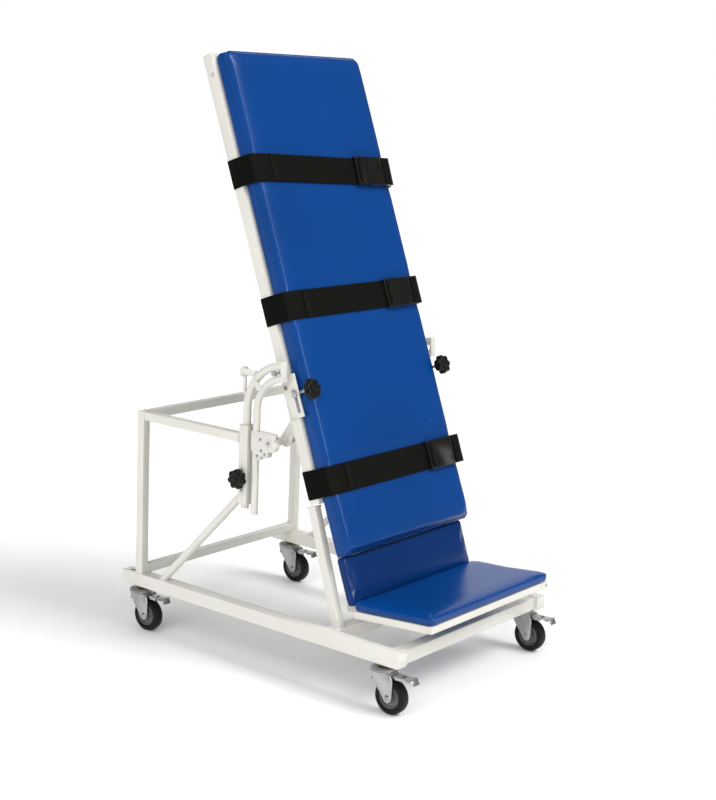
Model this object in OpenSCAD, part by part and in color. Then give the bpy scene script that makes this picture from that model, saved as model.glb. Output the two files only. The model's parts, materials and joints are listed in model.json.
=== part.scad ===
// Physiotherapy tilt table of child size on a wheeled tube frame, at rest near upright.
// Millimetres. Z is up, X runs across the table, the patient faces -Y, the floor is Z = 0.
// Left is the -X side. The origin is under the middle of the whole outline.

/* [Base frame] */
// Length of the two base rails
rail_l = 812; // [700:5:1000]
// Side of the square base rail
rail_w = 30; // [25:1:40]
// Wall of the base rail
rail_wall = 2.5; // [1.5:0.5:4]
// Side of the square frame tubes
tube_w = 20; // [16:1:25]
// Wall of the frame tubes
tube_wall = 2; // [1:0.5:3]
// Top of the rear frame below the tilt pivot
frame_drop = 55; // [40:1:70]
// Middle of the rear uprights, from the rear ends of the rails
upright_inset = 53; // [40:1:90]
// Middle of the posts, from the rear ends of the rails
post_inset = 369; // [340:1:400]
// Leg tops behind the lower ends of the table side rails
leg_top_back = 9.2; // [4:0.2:14]
// Lean of the front legs from the floor, in degrees
leg_angle = 72.5; // [70:0.5:76]
// Thickness of the plate on each leg top
leg_plate_t = 4; // [3:0.5:6]

/* [Posts and carriage] */
// Side of the square post sleeve
post_w = 25; // [24:1:30]
// Wall of the post sleeve
post_wall = 3; // [2:0.25:3]
// Length of the post sleeve
post_l = 176; // [150:1:200]
// Post top above the frame's top tubes
post_rise = 20; // [10:1:30]
// Diameter of the brace tubes
brace_d = 18; // [14:1:20]
// Brace foot ahead of the rear upright
brace_foot = 70; // [40:1:90]
// Footplate frame's lowest point above the base rails
foot_rise = 22.5; // [18:0.5:40]
// Diameter of the outer arc tube
outer_d = 18; // [16:0.5:18]
// Radius of the outer arc at the tube's middle
outer_r = 107; // [100:1:115]
// Diameter of the inner arc tube
inner_d = 16; // [12:0.5:16]
// Gap between the arc tubes
guide_gap = 11; // [8:0.5:14]
// Outer tube below the post sleeve
outer_stub = 10; // [4:1:30]
// Length of the inner tube below the pivot
inner_tail = 230; // [180:1:250]
// Angle that both arcs sweep, in degrees
arc_sweep = 86; // [82:1:95]
// Distance of the pivot tube behind the pivot
pivot_tube_back = 37; // [35:1:45]
// Distance of the pivot tube below the pivot
pivot_tube_down = 65; // [55:1:75]
// Travel of the height adjustment
height_travel = 16; // [8:1:20]

/* [Table] */
// Tilt of the table from the floor at rest, in degrees
table_tilt = 69.5; // [66:0.5:71]
// Width of the main cushion
pad_w = 460; // [420:2:480]
// Length of the main cushion
pad_l = 1112; // [1000:2:1250]
// Length of the main cushion below the pivot
pad_below = 318; // [300:1:330]
// Thickness of the main cushion at its piping
pad_edge_t = 22; // [18:1:30]
// Crown of the cushions above their piping
pad_crown = 8; // [4:1:14]
// Thickness of the covered board
board_t = 9; // [6:1:12]
// Depth of the table side rails
side_rail_d = 25; // [20:1:30]
// Width of the table side rails
side_rail_w = 20; // [16:1:25]
// Distance from the frame's outer face to the side rails
side_rail_inset = 40; // [38:1:50]
// Distance from the side rails' outer faces to the sides of the main cushion
rail_gap = 8; // [7:0.5:14]
// Side rails below the pivot
side_rail_below = 196; // [150:1:198]
// Length of the lower cushion
lower_l = 101; // [60:1:110]
// Thickness of the lower cushion at its edge
lower_t = 25; // [16:1:30]
// Lower cushion in from each side of the main one
lower_inset = 12; // [6:1:20]

/* [Footplate] */
// Depth of the footplate cushion
foot_d = 200; // [150:1:230]
// Thickness of the footplate cushion
foot_pad_t = 17; // [12:1:25]
// Height of the footplate frame tubes
foot_tube_h = 15; // [12:1:18]
// Angle of the footplate past square to the table, in degrees
foot_lean = 16.2; // [12:0.1:20]
// Footplate frame behind the lower cushion's face
foot_back = 46; // [44:1:50]

/* [Casters] */
// Wheel diameter
wheel_d = 75; // [60:1:80]
// Wheel width
wheel_w = 24; // [20:1:28]
// Total height of the casters
caster_h = 104; // [100:1:115]
// Caster stems from the rail ends
stem_inset = 48; // [40:1:60]
// Distance of the axle ahead of the stem
caster_offset = 25; // [20:1:30]
// Stem diameter
stem_d = 12; // [8:1:12]
// Axle diameter
axle_d = 8; // [6:1:10]

/* [Knobs, straps and buckles] */
// Diameter of the star knobs
knob_d = 42; // [36:1:42]
// Thickness of the star knobs
knob_t = 18; // [14:1:22]
// Diameter of the clamp bolts
bolt_d = 8; // [6:1:8]
// Width of the strap webbing
strap_w = 62; // [40:1:65]
// Thickness of the strap webbing
strap_t = 2; // [1.5:0.25:3]
// Height of the lower strap above the pivot
lower_strap = -155; // [-170:1:-150]
// Height of the middle strap above the pivot
middle_strap = 225; // [200:1:260]
// Height of the upper strap above the pivot
upper_strap = 518; // [480:1:560]
// Skew of the upper strap across the table, in degrees
upper_skew = 2.7; // [0:0.1:3]
// Length of the closed buckle
buckle_l = 122; // [116:1:130]
// Thickness of the buckles
buckle_t = 11; // [9:0.5:14]

/* [Hidden] */
$fn = 48;

// Overrun of cuts, seat gap of soft parts, running gap of shafts, gap between sliding flats and
// root gap of the footplate's welds
cut = 1;
soft_gap = 0.3;
run_gap = 0.05;
slide_gap = 0.4;
weld_gap = 0.05;

// Heights
rail_z = caster_h;
rail_top = rail_z + rail_w;

// Places along Y: the whole outline, from footplate to rail ends, is centred on Y = 0
table_back = side_rail_d / 2;
board_front = table_back + board_t;
pad_edge = board_front + pad_edge_t;
pad_top_s = pad_l - pad_below;
lower_back = board_front - board_t - tube_wall - board_t;
lower_front = lower_back + lower_t;
crease_s = pad_below + lower_l;
foot_edge = 4;
foot_reach = foot_d + foot_edge;
foot_tilt = table_tilt + foot_lean;
foot_h = foot_tube_h + foot_pad_t;
foot_half = pad_w / 2 - lower_inset;
base_w = pad_w + 2 * (rail_gap + side_rail_inset);
front_from_pivot = crease_s * cos(table_tilt) + lower_front * sin(table_tilt)
    + foot_reach * sin(foot_tilt) + foot_h * max(0, cos(foot_tilt));
pivot_from_rear = post_inset + outer_r;
rear_y = (pivot_from_rear + front_from_pivot) / 2;
front_y = rear_y - rail_l;
upright_y = rear_y - upright_inset;
post_y = rear_y - post_inset;
pivot_y = rear_y - pivot_from_rear;

// Heights: the footplate hangs clear of the base rails, and the frame comes up to the table. The legs
// come up to the ends of its side rails
pivot_z = rail_top + foot_rise + crease_s * sin(table_tilt) - lower_front * cos(table_tilt)
    + foot_h * sin(foot_tilt) + (foot_back - soft_gap) * cos(foot_tilt);
frame_top = pivot_z - frame_drop;
frame_h = frame_top - rail_top;
post_top = frame_top + post_rise;
leg_seat = leg_plate_t * sin(leg_angle) + (tube_w + leg_plate_t) / 2 * cos(leg_angle)
    + side_rail_d / 2 * cos(table_tilt) - slide_gap;
leg_h = pivot_z - rail_top - side_rail_below * sin(table_tilt) - leg_seat;
leg_foot_y = pivot_y - side_rail_below * cos(table_tilt) + leg_top_back - leg_h / tan(leg_angle);

// Places along X
rail_x = base_w / 2 - rail_w / 2;
tube_x = base_w / 2 - tube_w / 2;
post_x = base_w / 2 - post_w / 2;
side_rail_x = base_w / 2 - side_rail_inset - side_rail_w / 2;
side_rail_out = side_rail_x + side_rail_w / 2;

// Helpers
module on_side(side) {
    if (side < 0) mirror([1, 0, 0]) children();
    else children();
}

module both_sides() {
    on_side(-1) children();
    on_side(1) children();
}

module block(size, at = [0, 0, 0]) translate(at) cube(size, center = true);

module table_frame() translate([0, pivot_y, pivot_z]) rotate([table_tilt, 0, 0]) children();

module foot_frame_place()
    table_frame() translate([0, -crease_s, lower_front]) rotate([foot_lean, 0, 0]) children();

// Square tube with rounded corners, open at both ends, along Z, X or Y
module rounded_square(w, r) {
    square([w - 2 * r, w], center = true);
    square([w, w - 2 * r], center = true);
    for (x = [-1, 1], y = [-1, 1]) translate([x * (w / 2 - r), y * (w / 2 - r)]) circle(r = r);
}

module square_tube_z(w, wall, l) linear_extrude(l) difference() {
    rounded_square(w, wall);
    square([w - 2 * wall, w - 2 * wall], center = true);
}

module square_tube_x(w, wall, l) rotate([0, 90, 0]) translate([0, 0, -l / 2]) square_tube_z(w, wall, l);

module square_tube_y(w, wall, l) rotate([-90, 0, 0]) square_tube_z(w, wall, l);

module pipe(d, bore, l) difference() {
    cylinder(d = d, h = l);
    translate([0, 0, -cut]) cylinder(d = bore, h = l + 2 * cut);
}

// Local X runs back, local Y runs up and local Z runs across, to the right
module in_side_plane() rotate([90, 0, 90]) children();

module at_pivot(x) translate([x, pivot_y, pivot_z]) in_side_plane() children();

// Base frame
mount_hole_d = 13;
mount_inset = 22;
front_cross_inset = 22;

module base_rail(side) color("gainsboro") difference() {
    block([rail_w, rail_l, rail_w], [side * rail_x, rear_y - rail_l / 2, rail_z + rail_w / 2]);
    block([rail_w - 2 * rail_wall, rail_l - 2 * rail_wall, rail_w - 2 * rail_wall],
        [side * rail_x, rear_y - rail_l / 2, rail_z + rail_w / 2]);
    translate([side * rail_x, rear_y - mount_inset, rail_z - cut])
        cylinder(d = mount_hole_d, h = rail_w + 2 * cut);
    for (y = [front_y + stem_inset, rear_y - stem_inset])
        translate([side * rail_x, y, rail_z - cut])
            cylinder(d = stem_d + 2 * run_gap, h = rail_wall + 2 * cut);
}

module base_cross_tubes() color("gainsboro")
    for (y = [leg_foot_y, front_y + front_cross_inset])
        translate([0, y, rail_z + rail_w / 2]) square_tube_x(rail_w, rail_wall, base_w - 2 * rail_w);

module rear_uprights() color("gainsboro") both_sides()
    translate([tube_x, upright_y, rail_top]) difference() {
        block([tube_w, tube_w, frame_h], [0, 0, frame_h / 2]);
        block([tube_w - 2 * tube_wall, tube_w - 2 * tube_wall, frame_h], [0, 0, frame_h / 2 - tube_wall]);
    }

module rear_cross_tubes() color("gainsboro")
    for (z = [rail_top + tube_w / 2, frame_top - tube_w / 2])
        translate([0, upright_y, z]) square_tube_x(tube_w, tube_wall, base_w - 2 * tube_w);

module side_top_tubes() color("gainsboro") both_sides()
    translate([tube_x, post_y + post_w / 2, frame_top - tube_w / 2])
        square_tube_y(tube_w, tube_wall, upright_y - post_y - (tube_w + post_w) / 2);

// Posts: the clamp bolt of the carriage runs in a slot through both walls
clamp_below_top = 117;
slot_below = 26;
clamp_z = post_top - clamp_below_top;
post_bottom = post_top - post_l;
slot_w = bolt_d + 2 * slide_gap;

module clamp_slot(depth) hull() {
    for (z = [clamp_z - slot_below, clamp_z + height_travel + slide_gap])
        translate([0, 0, z]) rotate([0, 90, 0]) cylinder(d = slot_w, h = depth, center = true, $fn = 32);
}

module post(side) color("gainsboro") on_side(side) translate([post_x, post_y, 0]) difference() {
    translate([0, 0, post_bottom]) square_tube_z(post_w, post_wall, post_l);
    clamp_slot(post_w + 2 * cut);
}

brace_rise = post_bottom + brace_d * 0.75 - rail_top;
brace_run = upright_y - brace_foot - post_y - post_w / 2;
brace_angle = atan(brace_rise / brace_run);
brace_l = norm([brace_rise, brace_run]);

module brace_tubes() color("gainsboro") both_sides() difference() {
    translate([post_x, upright_y - brace_foot, rail_top]) rotate([90 - brace_angle, 0, 0])
        translate([0, 0, -brace_d]) pipe(brace_d, brace_d - 2 * tube_wall, brace_l + 2 * brace_d);
    block([2 * brace_d, 4 * brace_d, 2 * brace_d], [post_x, upright_y - brace_foot, rail_top - brace_d]);
    block([2 * brace_d, 2 * brace_d, 4 * brace_d],
        [post_x, post_y + post_w / 2 - brace_d, post_bottom + brace_d]);
}

// Front legs: the lower ends of the table's rails come down onto their plates
leg_l = leg_h / sin(leg_angle);

module front_legs() color("gainsboro") both_sides()
    translate([side_rail_x, leg_foot_y, rail_top]) {
        difference() {
            rotate([leg_angle - 90, 0, 0]) translate([0, 0, -tube_w])
                square_tube_z(tube_w, tube_wall, leg_l + tube_w);
            block([2 * tube_w, 3 * tube_w, 2 * tube_w], [0, 0, -tube_w]);
        }
        rotate([leg_angle - 90, 0, 0])
            block([tube_w, tube_w + leg_plate_t, leg_plate_t], [0, 0, leg_l + leg_plate_t / 2]);
    }

// Casters: a fixed stem with a foot flange holds the swivelling head
head_d = 50;
head_h = 9;
head_round = 2;
nut_h = 6;
nut_across = 22;
stem_flange_d = 17;
stem_flange_h = 3;
stem_top = rail_z + rail_wall + nut_h;
head_z = rail_z - nut_h - head_h - slide_gap;
fork_wall = 3;
hub_gap = 0.5;
fork_inner = wheel_w / 2 + hub_gap + tube_wall;
rim_d = 0.66 * wheel_d;
ear_d = 21;
cheek_back = 19;
cheek_front = 41;
cheek_strip = 5;
pedal_t = 2;
pedal_ahead = 24;
pedal_pin_d = 5;
pedal_z = head_z - pedal_pin_d / 2 - slide_gap;
pedal_l = 56;
pedal_w = 22;
horn_w = 34;
horn_r = 4;
slot_half = 5;
pedal_bend = 55;
pedal_tip = 12;
brake_gap = 2.1;
brake_shoe_at = 13;
brake_shoe_l = 8;
brake_shoe_h = pedal_z - wheel_d - brake_gap;

module at_caster(side, end)
    translate([side * rail_x, end < 0 ? front_y + stem_inset : rear_y - stem_inset, 0]) children();

module caster_stems() color("darkgoldenrod") for (side = [-1, 1], end = [-1, 1]) at_caster(side, end) {
    translate([0, 0, head_z - slide_gap - stem_flange_h]) cylinder(d = stem_flange_d, h = stem_flange_h);
    translate([0, 0, head_z - slide_gap - cut])
        cylinder(d = stem_d, h = stem_top - head_z + slide_gap + cut);
    translate([0, 0, rail_z - nut_h]) cylinder(d = nut_across, h = nut_h, $fn = 6);
}

module fork_cheek() hull() {
    translate([0, -caster_offset, wheel_d / 2]) rotate([0, 90, 0])
        cylinder(d = ear_d, h = fork_wall, $fn = 32);
    translate([0, -cheek_front, head_z - cheek_strip])
        cube([fork_wall, cheek_front + cheek_back, cheek_strip + head_round]);
}

module caster_fork(side, end) color("silver") at_caster(side, end) {
    difference() {
        union() {
            translate([0, 0, head_z]) cylinder(d = head_d, h = head_h - head_round);
            translate([0, 0, head_z + head_h - head_round])
                cylinder(d1 = head_d, d2 = head_d - 4 * head_round, h = head_round);
            for (x = [-fork_inner - fork_wall, fork_inner]) translate([x, 0, 0]) fork_cheek();
        }
        translate([0, 0, head_z - cut]) cylinder(d = stem_d + 2 * run_gap, h = head_h + 2 * cut);
        translate([0, -pedal_ahead, pedal_z]) rotate([0, 90, 0])
            cylinder(d = pedal_pin_d + 2 * run_gap, h = 2 * head_d, center = true);
    }
    translate([0, -caster_offset, wheel_d / 2]) rotate([0, 90, 0]) {
        cylinder(d = axle_d, h = 2 * (fork_inner + fork_wall), center = true);
        for (x = [-1, 1]) translate([0, 0, x * (fork_inner + fork_wall + fork_wall / 2)])
            cylinder(d = axle_d * 1.6, h = fork_wall, center = true);
    }
}

module at_wheel(side, end) at_caster(side, end)
    translate([0, -caster_offset, wheel_d / 2]) rotate([0, 90, 0]) children();

module caster_rim(side, end) color("gray") at_wheel(side, end) difference() {
    union() {
        cylinder(d = rim_d, h = wheel_w * 0.62, center = true);
        cylinder(d = axle_d * 2, h = 2 * (fork_inner - hub_gap), center = true);
    }
    for (z = [-1, 1]) translate([0, 0, z * wheel_w * 0.31]) difference() {
        cylinder(d = rim_d * 0.84, h = wheel_w * 0.2, center = true);
        cylinder(d = rim_d * 0.44, h = wheel_w, center = true);
    }
    cylinder(d = axle_d + 2 * run_gap, h = 2 * wheel_w, center = true);
}

module caster_tyre(side, end) color("dimgray") at_wheel(side, end) rotate_extrude() intersection() {
    translate([rim_d / 2, -wheel_w / 2]) square([(wheel_d - rim_d) / 2, wheel_w]);
    translate([wheel_d / 2 - wheel_w * 0.9, 0]) circle(r = wheel_w * 0.9);
}

// Seen from above the pedal has a slot near the head and flares to two horns at its tip
module pedal_outline() difference() {
    union() {
        translate([-pedal_w / 2, -pedal_l * 0.8]) square([pedal_w, pedal_l * 0.8 + pedal_pin_d]);
        hull() {
            for (x = [-1, 1]) translate([x * (horn_w / 2 - horn_r), -pedal_l]) circle(r = horn_r);
            translate([-pedal_w / 2, -pedal_l * 0.7]) square([pedal_w, pedal_t]);
        }
        translate([-pedal_w / 2, -pedal_l - pedal_tip]) square([pedal_w, pedal_tip]);
    }
    translate([-slot_half, -pedal_l * 0.6]) square([2 * slot_half, slot_half]);
}

module brake_pedal(side, end) color("darkgray") at_caster(side, end) translate([0, -pedal_ahead, pedal_z]) {
    rotate([0, 90, 0]) cylinder(d = pedal_pin_d, h = 2 * (fork_inner + fork_wall), center = true);
    intersection() {
        rotate([90, 0, 90]) translate([0, 0, -horn_w / 2]) linear_extrude(horn_w) {
            translate([-pedal_l, -pedal_t / 2]) square([pedal_l, pedal_t]);
            translate([-pedal_l, pedal_t / 2]) rotate(pedal_bend) translate([-pedal_tip, -pedal_t])
                square([pedal_tip, pedal_t]);
            translate([-brake_shoe_at - brake_shoe_l / 2, -brake_shoe_h])
                square([brake_shoe_l, brake_shoe_h]);
        }
        translate([0, 0, -pedal_l]) linear_extrude(2 * pedal_l) pedal_outline();
    }
}

// Carriage: two bent tubes round the pivot on each side, that guide a roller on the table
arc_wall = 2;
tie_t = 3.5;
tie_angle = 38;
tie_w = 12;
end_tie_t = 5;
inner_r = outer_r - outer_d / 2 - guide_gap - inner_d / 2;
roller_r = outer_r - outer_d / 2 - guide_gap / 2;
roller_d = guide_gap - 2 * soft_gap;
roller_l = 13;
roller_pin_d = 6;
stiff_share = 0.74;
stiff_h = outer_r * stiff_share;
stiff_d = 14;
stiff_cap_d = 24;
stiff_cap_t = 6;
stiff_rod_d = 8;
stiff_y = outer_r + outer_d / 2;

module bent_tube(r, d, tail) {
    rotate_extrude(angle = arc_sweep) translate([r, 0]) difference() {
        circle(d = d);
        circle(d = d - 2 * arc_wall);
    }
    translate([r, 0, 0]) rotate([90, 0, 0]) pipe(d, d - 2 * arc_wall, tail);
}

outer_tail = pivot_z - post_bottom + outer_stub;

module quadrant(side) color("gainsboro") on_side(side) at_pivot(post_x) difference() {
    union() {
        bent_tube(outer_r, outer_d, outer_tail);
        bent_tube(inner_r, inner_d, inner_tail);
        rotate(tie_angle) translate([inner_r, -tie_w / 2, inner_d / 2 - tie_t * 0.3])
            cube([outer_r - inner_r, tie_w, tie_t]);
        rotate(arc_sweep) translate([inner_r - inner_d / 2, -end_tie_t / 2, -inner_d / 2])
            cube([outer_r - inner_r + (inner_d + outer_d) / 2, end_tie_t, inner_d]);
        translate([outer_r * 0.8, stiff_h, 0]) rotate([0, 90, 0])
            cylinder(d = stiff_d, h = stiff_y - outer_r * 0.8);
        translate([stiff_y, stiff_h, 0]) rotate([0, 90, 0]) cylinder(d = stiff_cap_d, h = stiff_cap_t);
        translate([stiff_y, stiff_h, 0]) rotate([90, 0, 0]) cylinder(d = stiff_rod_d, h = stiff_h * 0.62);
    }
    rotate_extrude(angle = arc_sweep - end_tie_t) translate([outer_r, 0])
        circle(d = outer_d - 2 * arc_wall);
    translate([outer_r, clamp_z - pivot_z, 0])
        cylinder(d = bolt_d + 2 * run_gap, h = 2 * outer_d, center = true);
}

// Bracket that clasps the inner tube, runs along the post and carries the pivot tube
bracket_w = 22;
pivot_tube_d = 18;
pivot_tube_wall = 2.5;
bracket_lobe_r = 15;
bracket_reach = 29;
bracket_low = [pivot_tube_back + bracket_reach, -pivot_tube_down - bracket_reach];
bracket_low_r = 11;
bracket_top = -30;
bracket_back = outer_r - post_w / 2 - slide_gap;
bracket_front = inner_r - inner_d;
bracket_tall = 46;

module pivot_brackets() color("gainsboro") both_sides() at_pivot(post_x) difference() {
    translate([0, 0, -bracket_w / 2]) linear_extrude(bracket_w) hull() {
        translate([pivot_tube_back, -pivot_tube_down]) circle(r = bracket_lobe_r, $fn = 32);
        translate(bracket_low) circle(r = bracket_low_r, $fn = 32);
        translate([bracket_front, bracket_top - bracket_tall])
            square([bracket_back - bracket_front, bracket_tall]);
    }
    translate([inner_r, 0, 0]) rotate([90, 0, 0]) cylinder(d = inner_d + 2 * run_gap, h = inner_tail);
    translate([pivot_tube_back, -pivot_tube_down, 0])
        cylinder(d = pivot_tube_d + 2 * run_gap, h = bracket_w + 2 * cut, center = true);
    for (at = bolt_places) translate([at.x, at.y, 0])
        cylinder(d = bracket_bolt_d + 2 * run_gap, h = bracket_w + 2 * cut, center = true);
}

bracket_bolt_d = 4;
bracket_head_d = 8;
bolt_x_shares = [0.29, 0.53, 0.36];
bolt_y = [bracket_top - bracket_lobe_r * 0.4, bracket_low.y + bracket_low_r * 0.1,
    -pivot_tube_down - bracket_lobe_r];
bolt_places = [for (i = [0:2]) [pivot_tube_back + bolt_x_shares[i] * (inner_r - pivot_tube_back), bolt_y[i]]];

module bracket_bolts() color("dimgray") both_sides() at_pivot(post_x) for (at = bolt_places)
    translate([at.x, at.y, 0]) {
        cylinder(d = bracket_bolt_d, h = bracket_w, center = true);
        translate([0, 0, bracket_w / 2]) cylinder(d = bracket_head_d, h = bracket_bolt_d * 0.7, $fn = 6);
    }

module pivot_cross_tube() color("gainsboro")
    translate([0, pivot_y + pivot_tube_back, pivot_z - pivot_tube_down]) rotate([0, 90, 0])
        translate([0, 0, -post_x - bracket_w / 2])
            pipe(pivot_tube_d, pivot_tube_d - 2 * pivot_tube_wall, 2 * post_x + bracket_w);

lug_t = 6;
lug_r = 10.5;
pin_d = 10;
pin_head_d = 16;
pin_head_t = 3;
lug_x = side_rail_x - side_rail_w / 2 - slide_gap - lug_t;

module pivot_lugs() color("gainsboro") both_sides() at_pivot(lug_x) difference() {
    hull() {
        cylinder(r = lug_r, h = lug_t, $fn = 32);
        translate([pivot_tube_back, -pivot_tube_down, 0]) cylinder(r = bracket_lobe_r, h = lug_t, $fn = 32);
    }
    translate([0, 0, -cut]) cylinder(d = pin_d + 2 * run_gap, h = lug_t + 2 * cut);
    translate([pivot_tube_back, -pivot_tube_down, -cut])
        cylinder(d = pivot_tube_d + 2 * run_gap, h = lug_t + 2 * cut);
}

module pivot_pins() color("silver") both_sides() at_pivot(lug_x) {
    translate([0, 0, -pin_head_t]) cylinder(d = pin_head_d, h = pin_head_t);
    cylinder(d = pin_d, h = lug_t + slide_gap + side_rail_w);
}

clamp_nut_t = 7;
clamp_nut_across = 15;

module clamp_nuts() color("silver") both_sides()
    translate([base_w / 2 - post_w - slide_gap, post_y, clamp_z])
    rotate([0, -90, 0]) difference() {
        cylinder(d = clamp_nut_across, h = clamp_nut_t, $fn = 6);
        translate([0, 0, -cut]) cylinder(d = bolt_d + 2 * run_gap, h = clamp_nut_t + 2 * cut);
    }

// Star knob with seven lobes; it turns about Z and its boss points down
knob_lobes = 7;
knob_boss_d = 16;
knob_boss_h = 7;

module star_knob() {
    lobe_r = knob_d * 0.12;
    cylinder(d = knob_boss_d, h = knob_boss_h);
    translate([0, 0, knob_boss_h]) {
        cylinder(d = knob_d * 0.8, h = knob_t);
        for (i = [0:knob_lobes - 1]) rotate(i * 360 / knob_lobes) translate([knob_d / 2 - lobe_r, 0, 0])
            cylinder(r = lobe_r, h = knob_t);
    }
}

module post_knob(side) color("#202020") on_side(side) translate([base_w / 2 + slide_gap, post_y, clamp_z])
    rotate([0, 90, 0]) {
        star_knob();
        translate([0, 0, -slide_gap - post_w - slide_gap - clamp_nut_t - bolt_d / 2])
            cylinder(d = bolt_d, h = slide_gap + post_w + slide_gap + clamp_nut_t + bolt_d / 2 + cut);
    }

// Table frame, laid out flat: X across, Y up the table from the pivot, Z towards the patient
cross_places = [-side_rail_below + tube_w / 2, 0.17 * pad_top_s, 0.56 * pad_top_s, pad_top_s - 2 * tube_w];

module side_rails() color("gainsboro") table_frame() both_sides() translate([side_rail_x, 0]) difference() {
    side_rail_solid(0);
    side_rail_solid(tube_wall);
    rotate([0, 90, 0]) cylinder(d = pin_d + 2 * run_gap, h = 2 * side_rail_w, center = true);
    translate([0, roller_r, 0]) rotate([0, 90, 0])
        cylinder(d = roller_pin_d + 2 * run_gap, h = 2 * side_rail_w, center = true);
}

module side_rail_solid(inset) block(
    [side_rail_w - 2 * inset, side_rail_below + pad_top_s - 2 * inset, side_rail_d - 2 * inset],
    [0, (pad_top_s - side_rail_below) / 2, 0]);

module table_cross_tubes() color("gainsboro") table_frame() for (s = cross_places)
    translate([0, s, table_back - tube_w / 2])
        square_tube_x(tube_w, tube_wall, 2 * side_rail_x - side_rail_w);

board_inset = 2;

module pad_board() color("#1d4a96") table_frame() translate([0, pad_l / 2 - pad_below, table_back])
    linear_extrude(board_t)
        rounded_plate(pad_w - 2 * board_inset, pad_l - board_inset, [low_corner, pad_corner]);

// Rounded with r[0] at its lower corners and r[1] at its upper ones
module rounded_plate(w, l, r) hull()
    for (x = [-1, 1], y = [0, 1]) translate([x * (w / 2 - r[y]), (2 * y - 1) * (l / 2 - r[y])])
        circle(r = r[y], $fn = 32);

// Cushions: sides drawn in below the piping, and a crown that rolls up inwards from it
pad_corner = 22;
low_corner = 10;
pad_draw = 2;
edge_share = 0.84;
foot_edge_share = 0.76;
crown_run = 46;
crown_steps = 8;
crown_power = 3;

function crown_rise(d, crown) = crown * (1 - pow(1 - min(1, d / crown_run), crown_power));

module cushion(w, l, edge_t, crown, r) hull() {
    linear_extrude(edge_t / 8) rounded_plate(w - 2 * pad_draw, l - 2 * pad_draw, r - [pad_draw, pad_draw]);
    translate([0, 0, edge_t * 0.6]) linear_extrude(edge_t * 0.3) rounded_plate(w, l, r);
    for (i = [0:crown_steps]) {
        d = crown_run * pow(i / crown_steps, 2);
        translate([0, 0, edge_t - crown * 0.02 + crown_rise(d, crown) - crown * 0.02])
            linear_extrude(crown * 0.04)
                rounded_plate(w - 2 * d - pad_draw, l - 2 * d - pad_draw, r * max(0.2, 1 - d / crown_run));
    }
}

module main_pad() color("#1f55ad") table_frame() translate([0, pad_l / 2 - pad_below, board_front])
    cushion(pad_w, pad_l, pad_edge_t, pad_crown, [low_corner, pad_corner]);

module lower_pad() color("#1a4590") table_frame()
    translate([0, -pad_below - lower_l / 2 - soft_gap / 2, lower_back])
        cushion(2 * foot_half, lower_l - soft_gap, lower_t * edge_share, lower_t * (1 - edge_share),
            [low_corner, low_corner]);

// Footplate
hanger_x = foot_half - 2 * tube_w;

foot_side_x = foot_half + foot_edge - foot_tube_h / 2;
foot_inner = foot_reach - 2 * foot_tube_h - soft_gap;
hanger_l = crease_s + foot_h - side_rail_below;

// The tubes butt against each other, and the hangers end on the bearers under the footplate
module flat_tube(w, h, l) translate([0, 0, weld_gap]) linear_extrude(l - 2 * weld_gap) difference() {
    square([w, h], center = true);
    square([w - 2 * tube_wall, h - 2 * tube_wall], center = true);
}

module foot_frame() color("gainsboro") {
    foot_frame_place() translate([0, -foot_pad_t - foot_tube_h / 2, soft_gap]) {
        for (z = [foot_tube_h / 2, foot_inner + 1.5 * foot_tube_h]) translate([0, 0, z])
            square_tube_x(foot_tube_h, tube_wall, 2 * (foot_half + foot_edge));
        for (x = [-1, 1]) {
            translate([x * foot_side_x, 0, foot_tube_h]) flat_tube(foot_tube_h, foot_tube_h, foot_inner);
            translate([x * hanger_x, 0, foot_tube_h]) flat_tube(tube_w, foot_tube_h, foot_inner);
            translate([x * hanger_x, 0, -foot_back]) flat_tube(tube_w, foot_tube_h, foot_back);
        }
        translate([0, 0, tube_w / 2 - foot_back]) rotate([0, 90, 0])
            translate([0, 0, tube_w / 2 - hanger_x])
            flat_tube(tube_w, foot_tube_h, 2 * hanger_x - tube_w);
    }
    difference() {
        table_frame() for (x = [-1, 1])
            translate([x * hanger_x, -side_rail_below, lower_back - soft_gap - tube_w / 2])
            rotate([90, 0, 0]) flat_tube(tube_w, tube_w, hanger_l);
        foot_frame_place()
            block([4 * foot_half, 2 * hanger_l, 2 * hanger_l], [0, weld_gap - foot_pad_t - hanger_l, 0]);
    }
}

module foot_pad() color("#1f55ad") foot_frame_place()
    translate([0, -foot_pad_t, foot_d / 2 + soft_gap]) rotate([-90, 0, 0]) translate([0, 0, soft_gap])
        let (t = foot_pad_t - soft_gap) cushion(2 * foot_half, foot_d - soft_gap,
            t * foot_edge_share, t * (1 - foot_edge_share), [low_corner, low_corner]);

// Accessory brackets: a slotted plate outside each rail, with a sliding stud and its knob
plate_t = 4;
plate_l = 94;
plate_clear = 5.5;
plate_from = roller_r - roller_pin_d / 2 - plate_clear - plate_l;
plate_back = -8;
plate_front = 31;
plate_slot_l = 50;
slot_edge = 10;
plate_slot_s = plate_from + slot_edge + plate_slot_l / 2;
plate_slot_w = 9;
slot_t = 21.5;
screw_edge = 10;
screw_pitch = 16;
screw_places = [for (i = [1, 0]) plate_from + plate_l - screw_edge - i * screw_pitch];
screw_d = 4;
screw_head_d = 8;
stud_d = 6;
stud_x = side_rail_out - slide_gap - stud_d / 2;
shoe_l = 16;
shoe_t = 3.5;
stud_s = plate_slot_s + (plate_slot_l - shoe_l) / 2;
knob_seat = pad_edge + pad_crown + 3 * strap_t - knob_boss_h;

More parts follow.
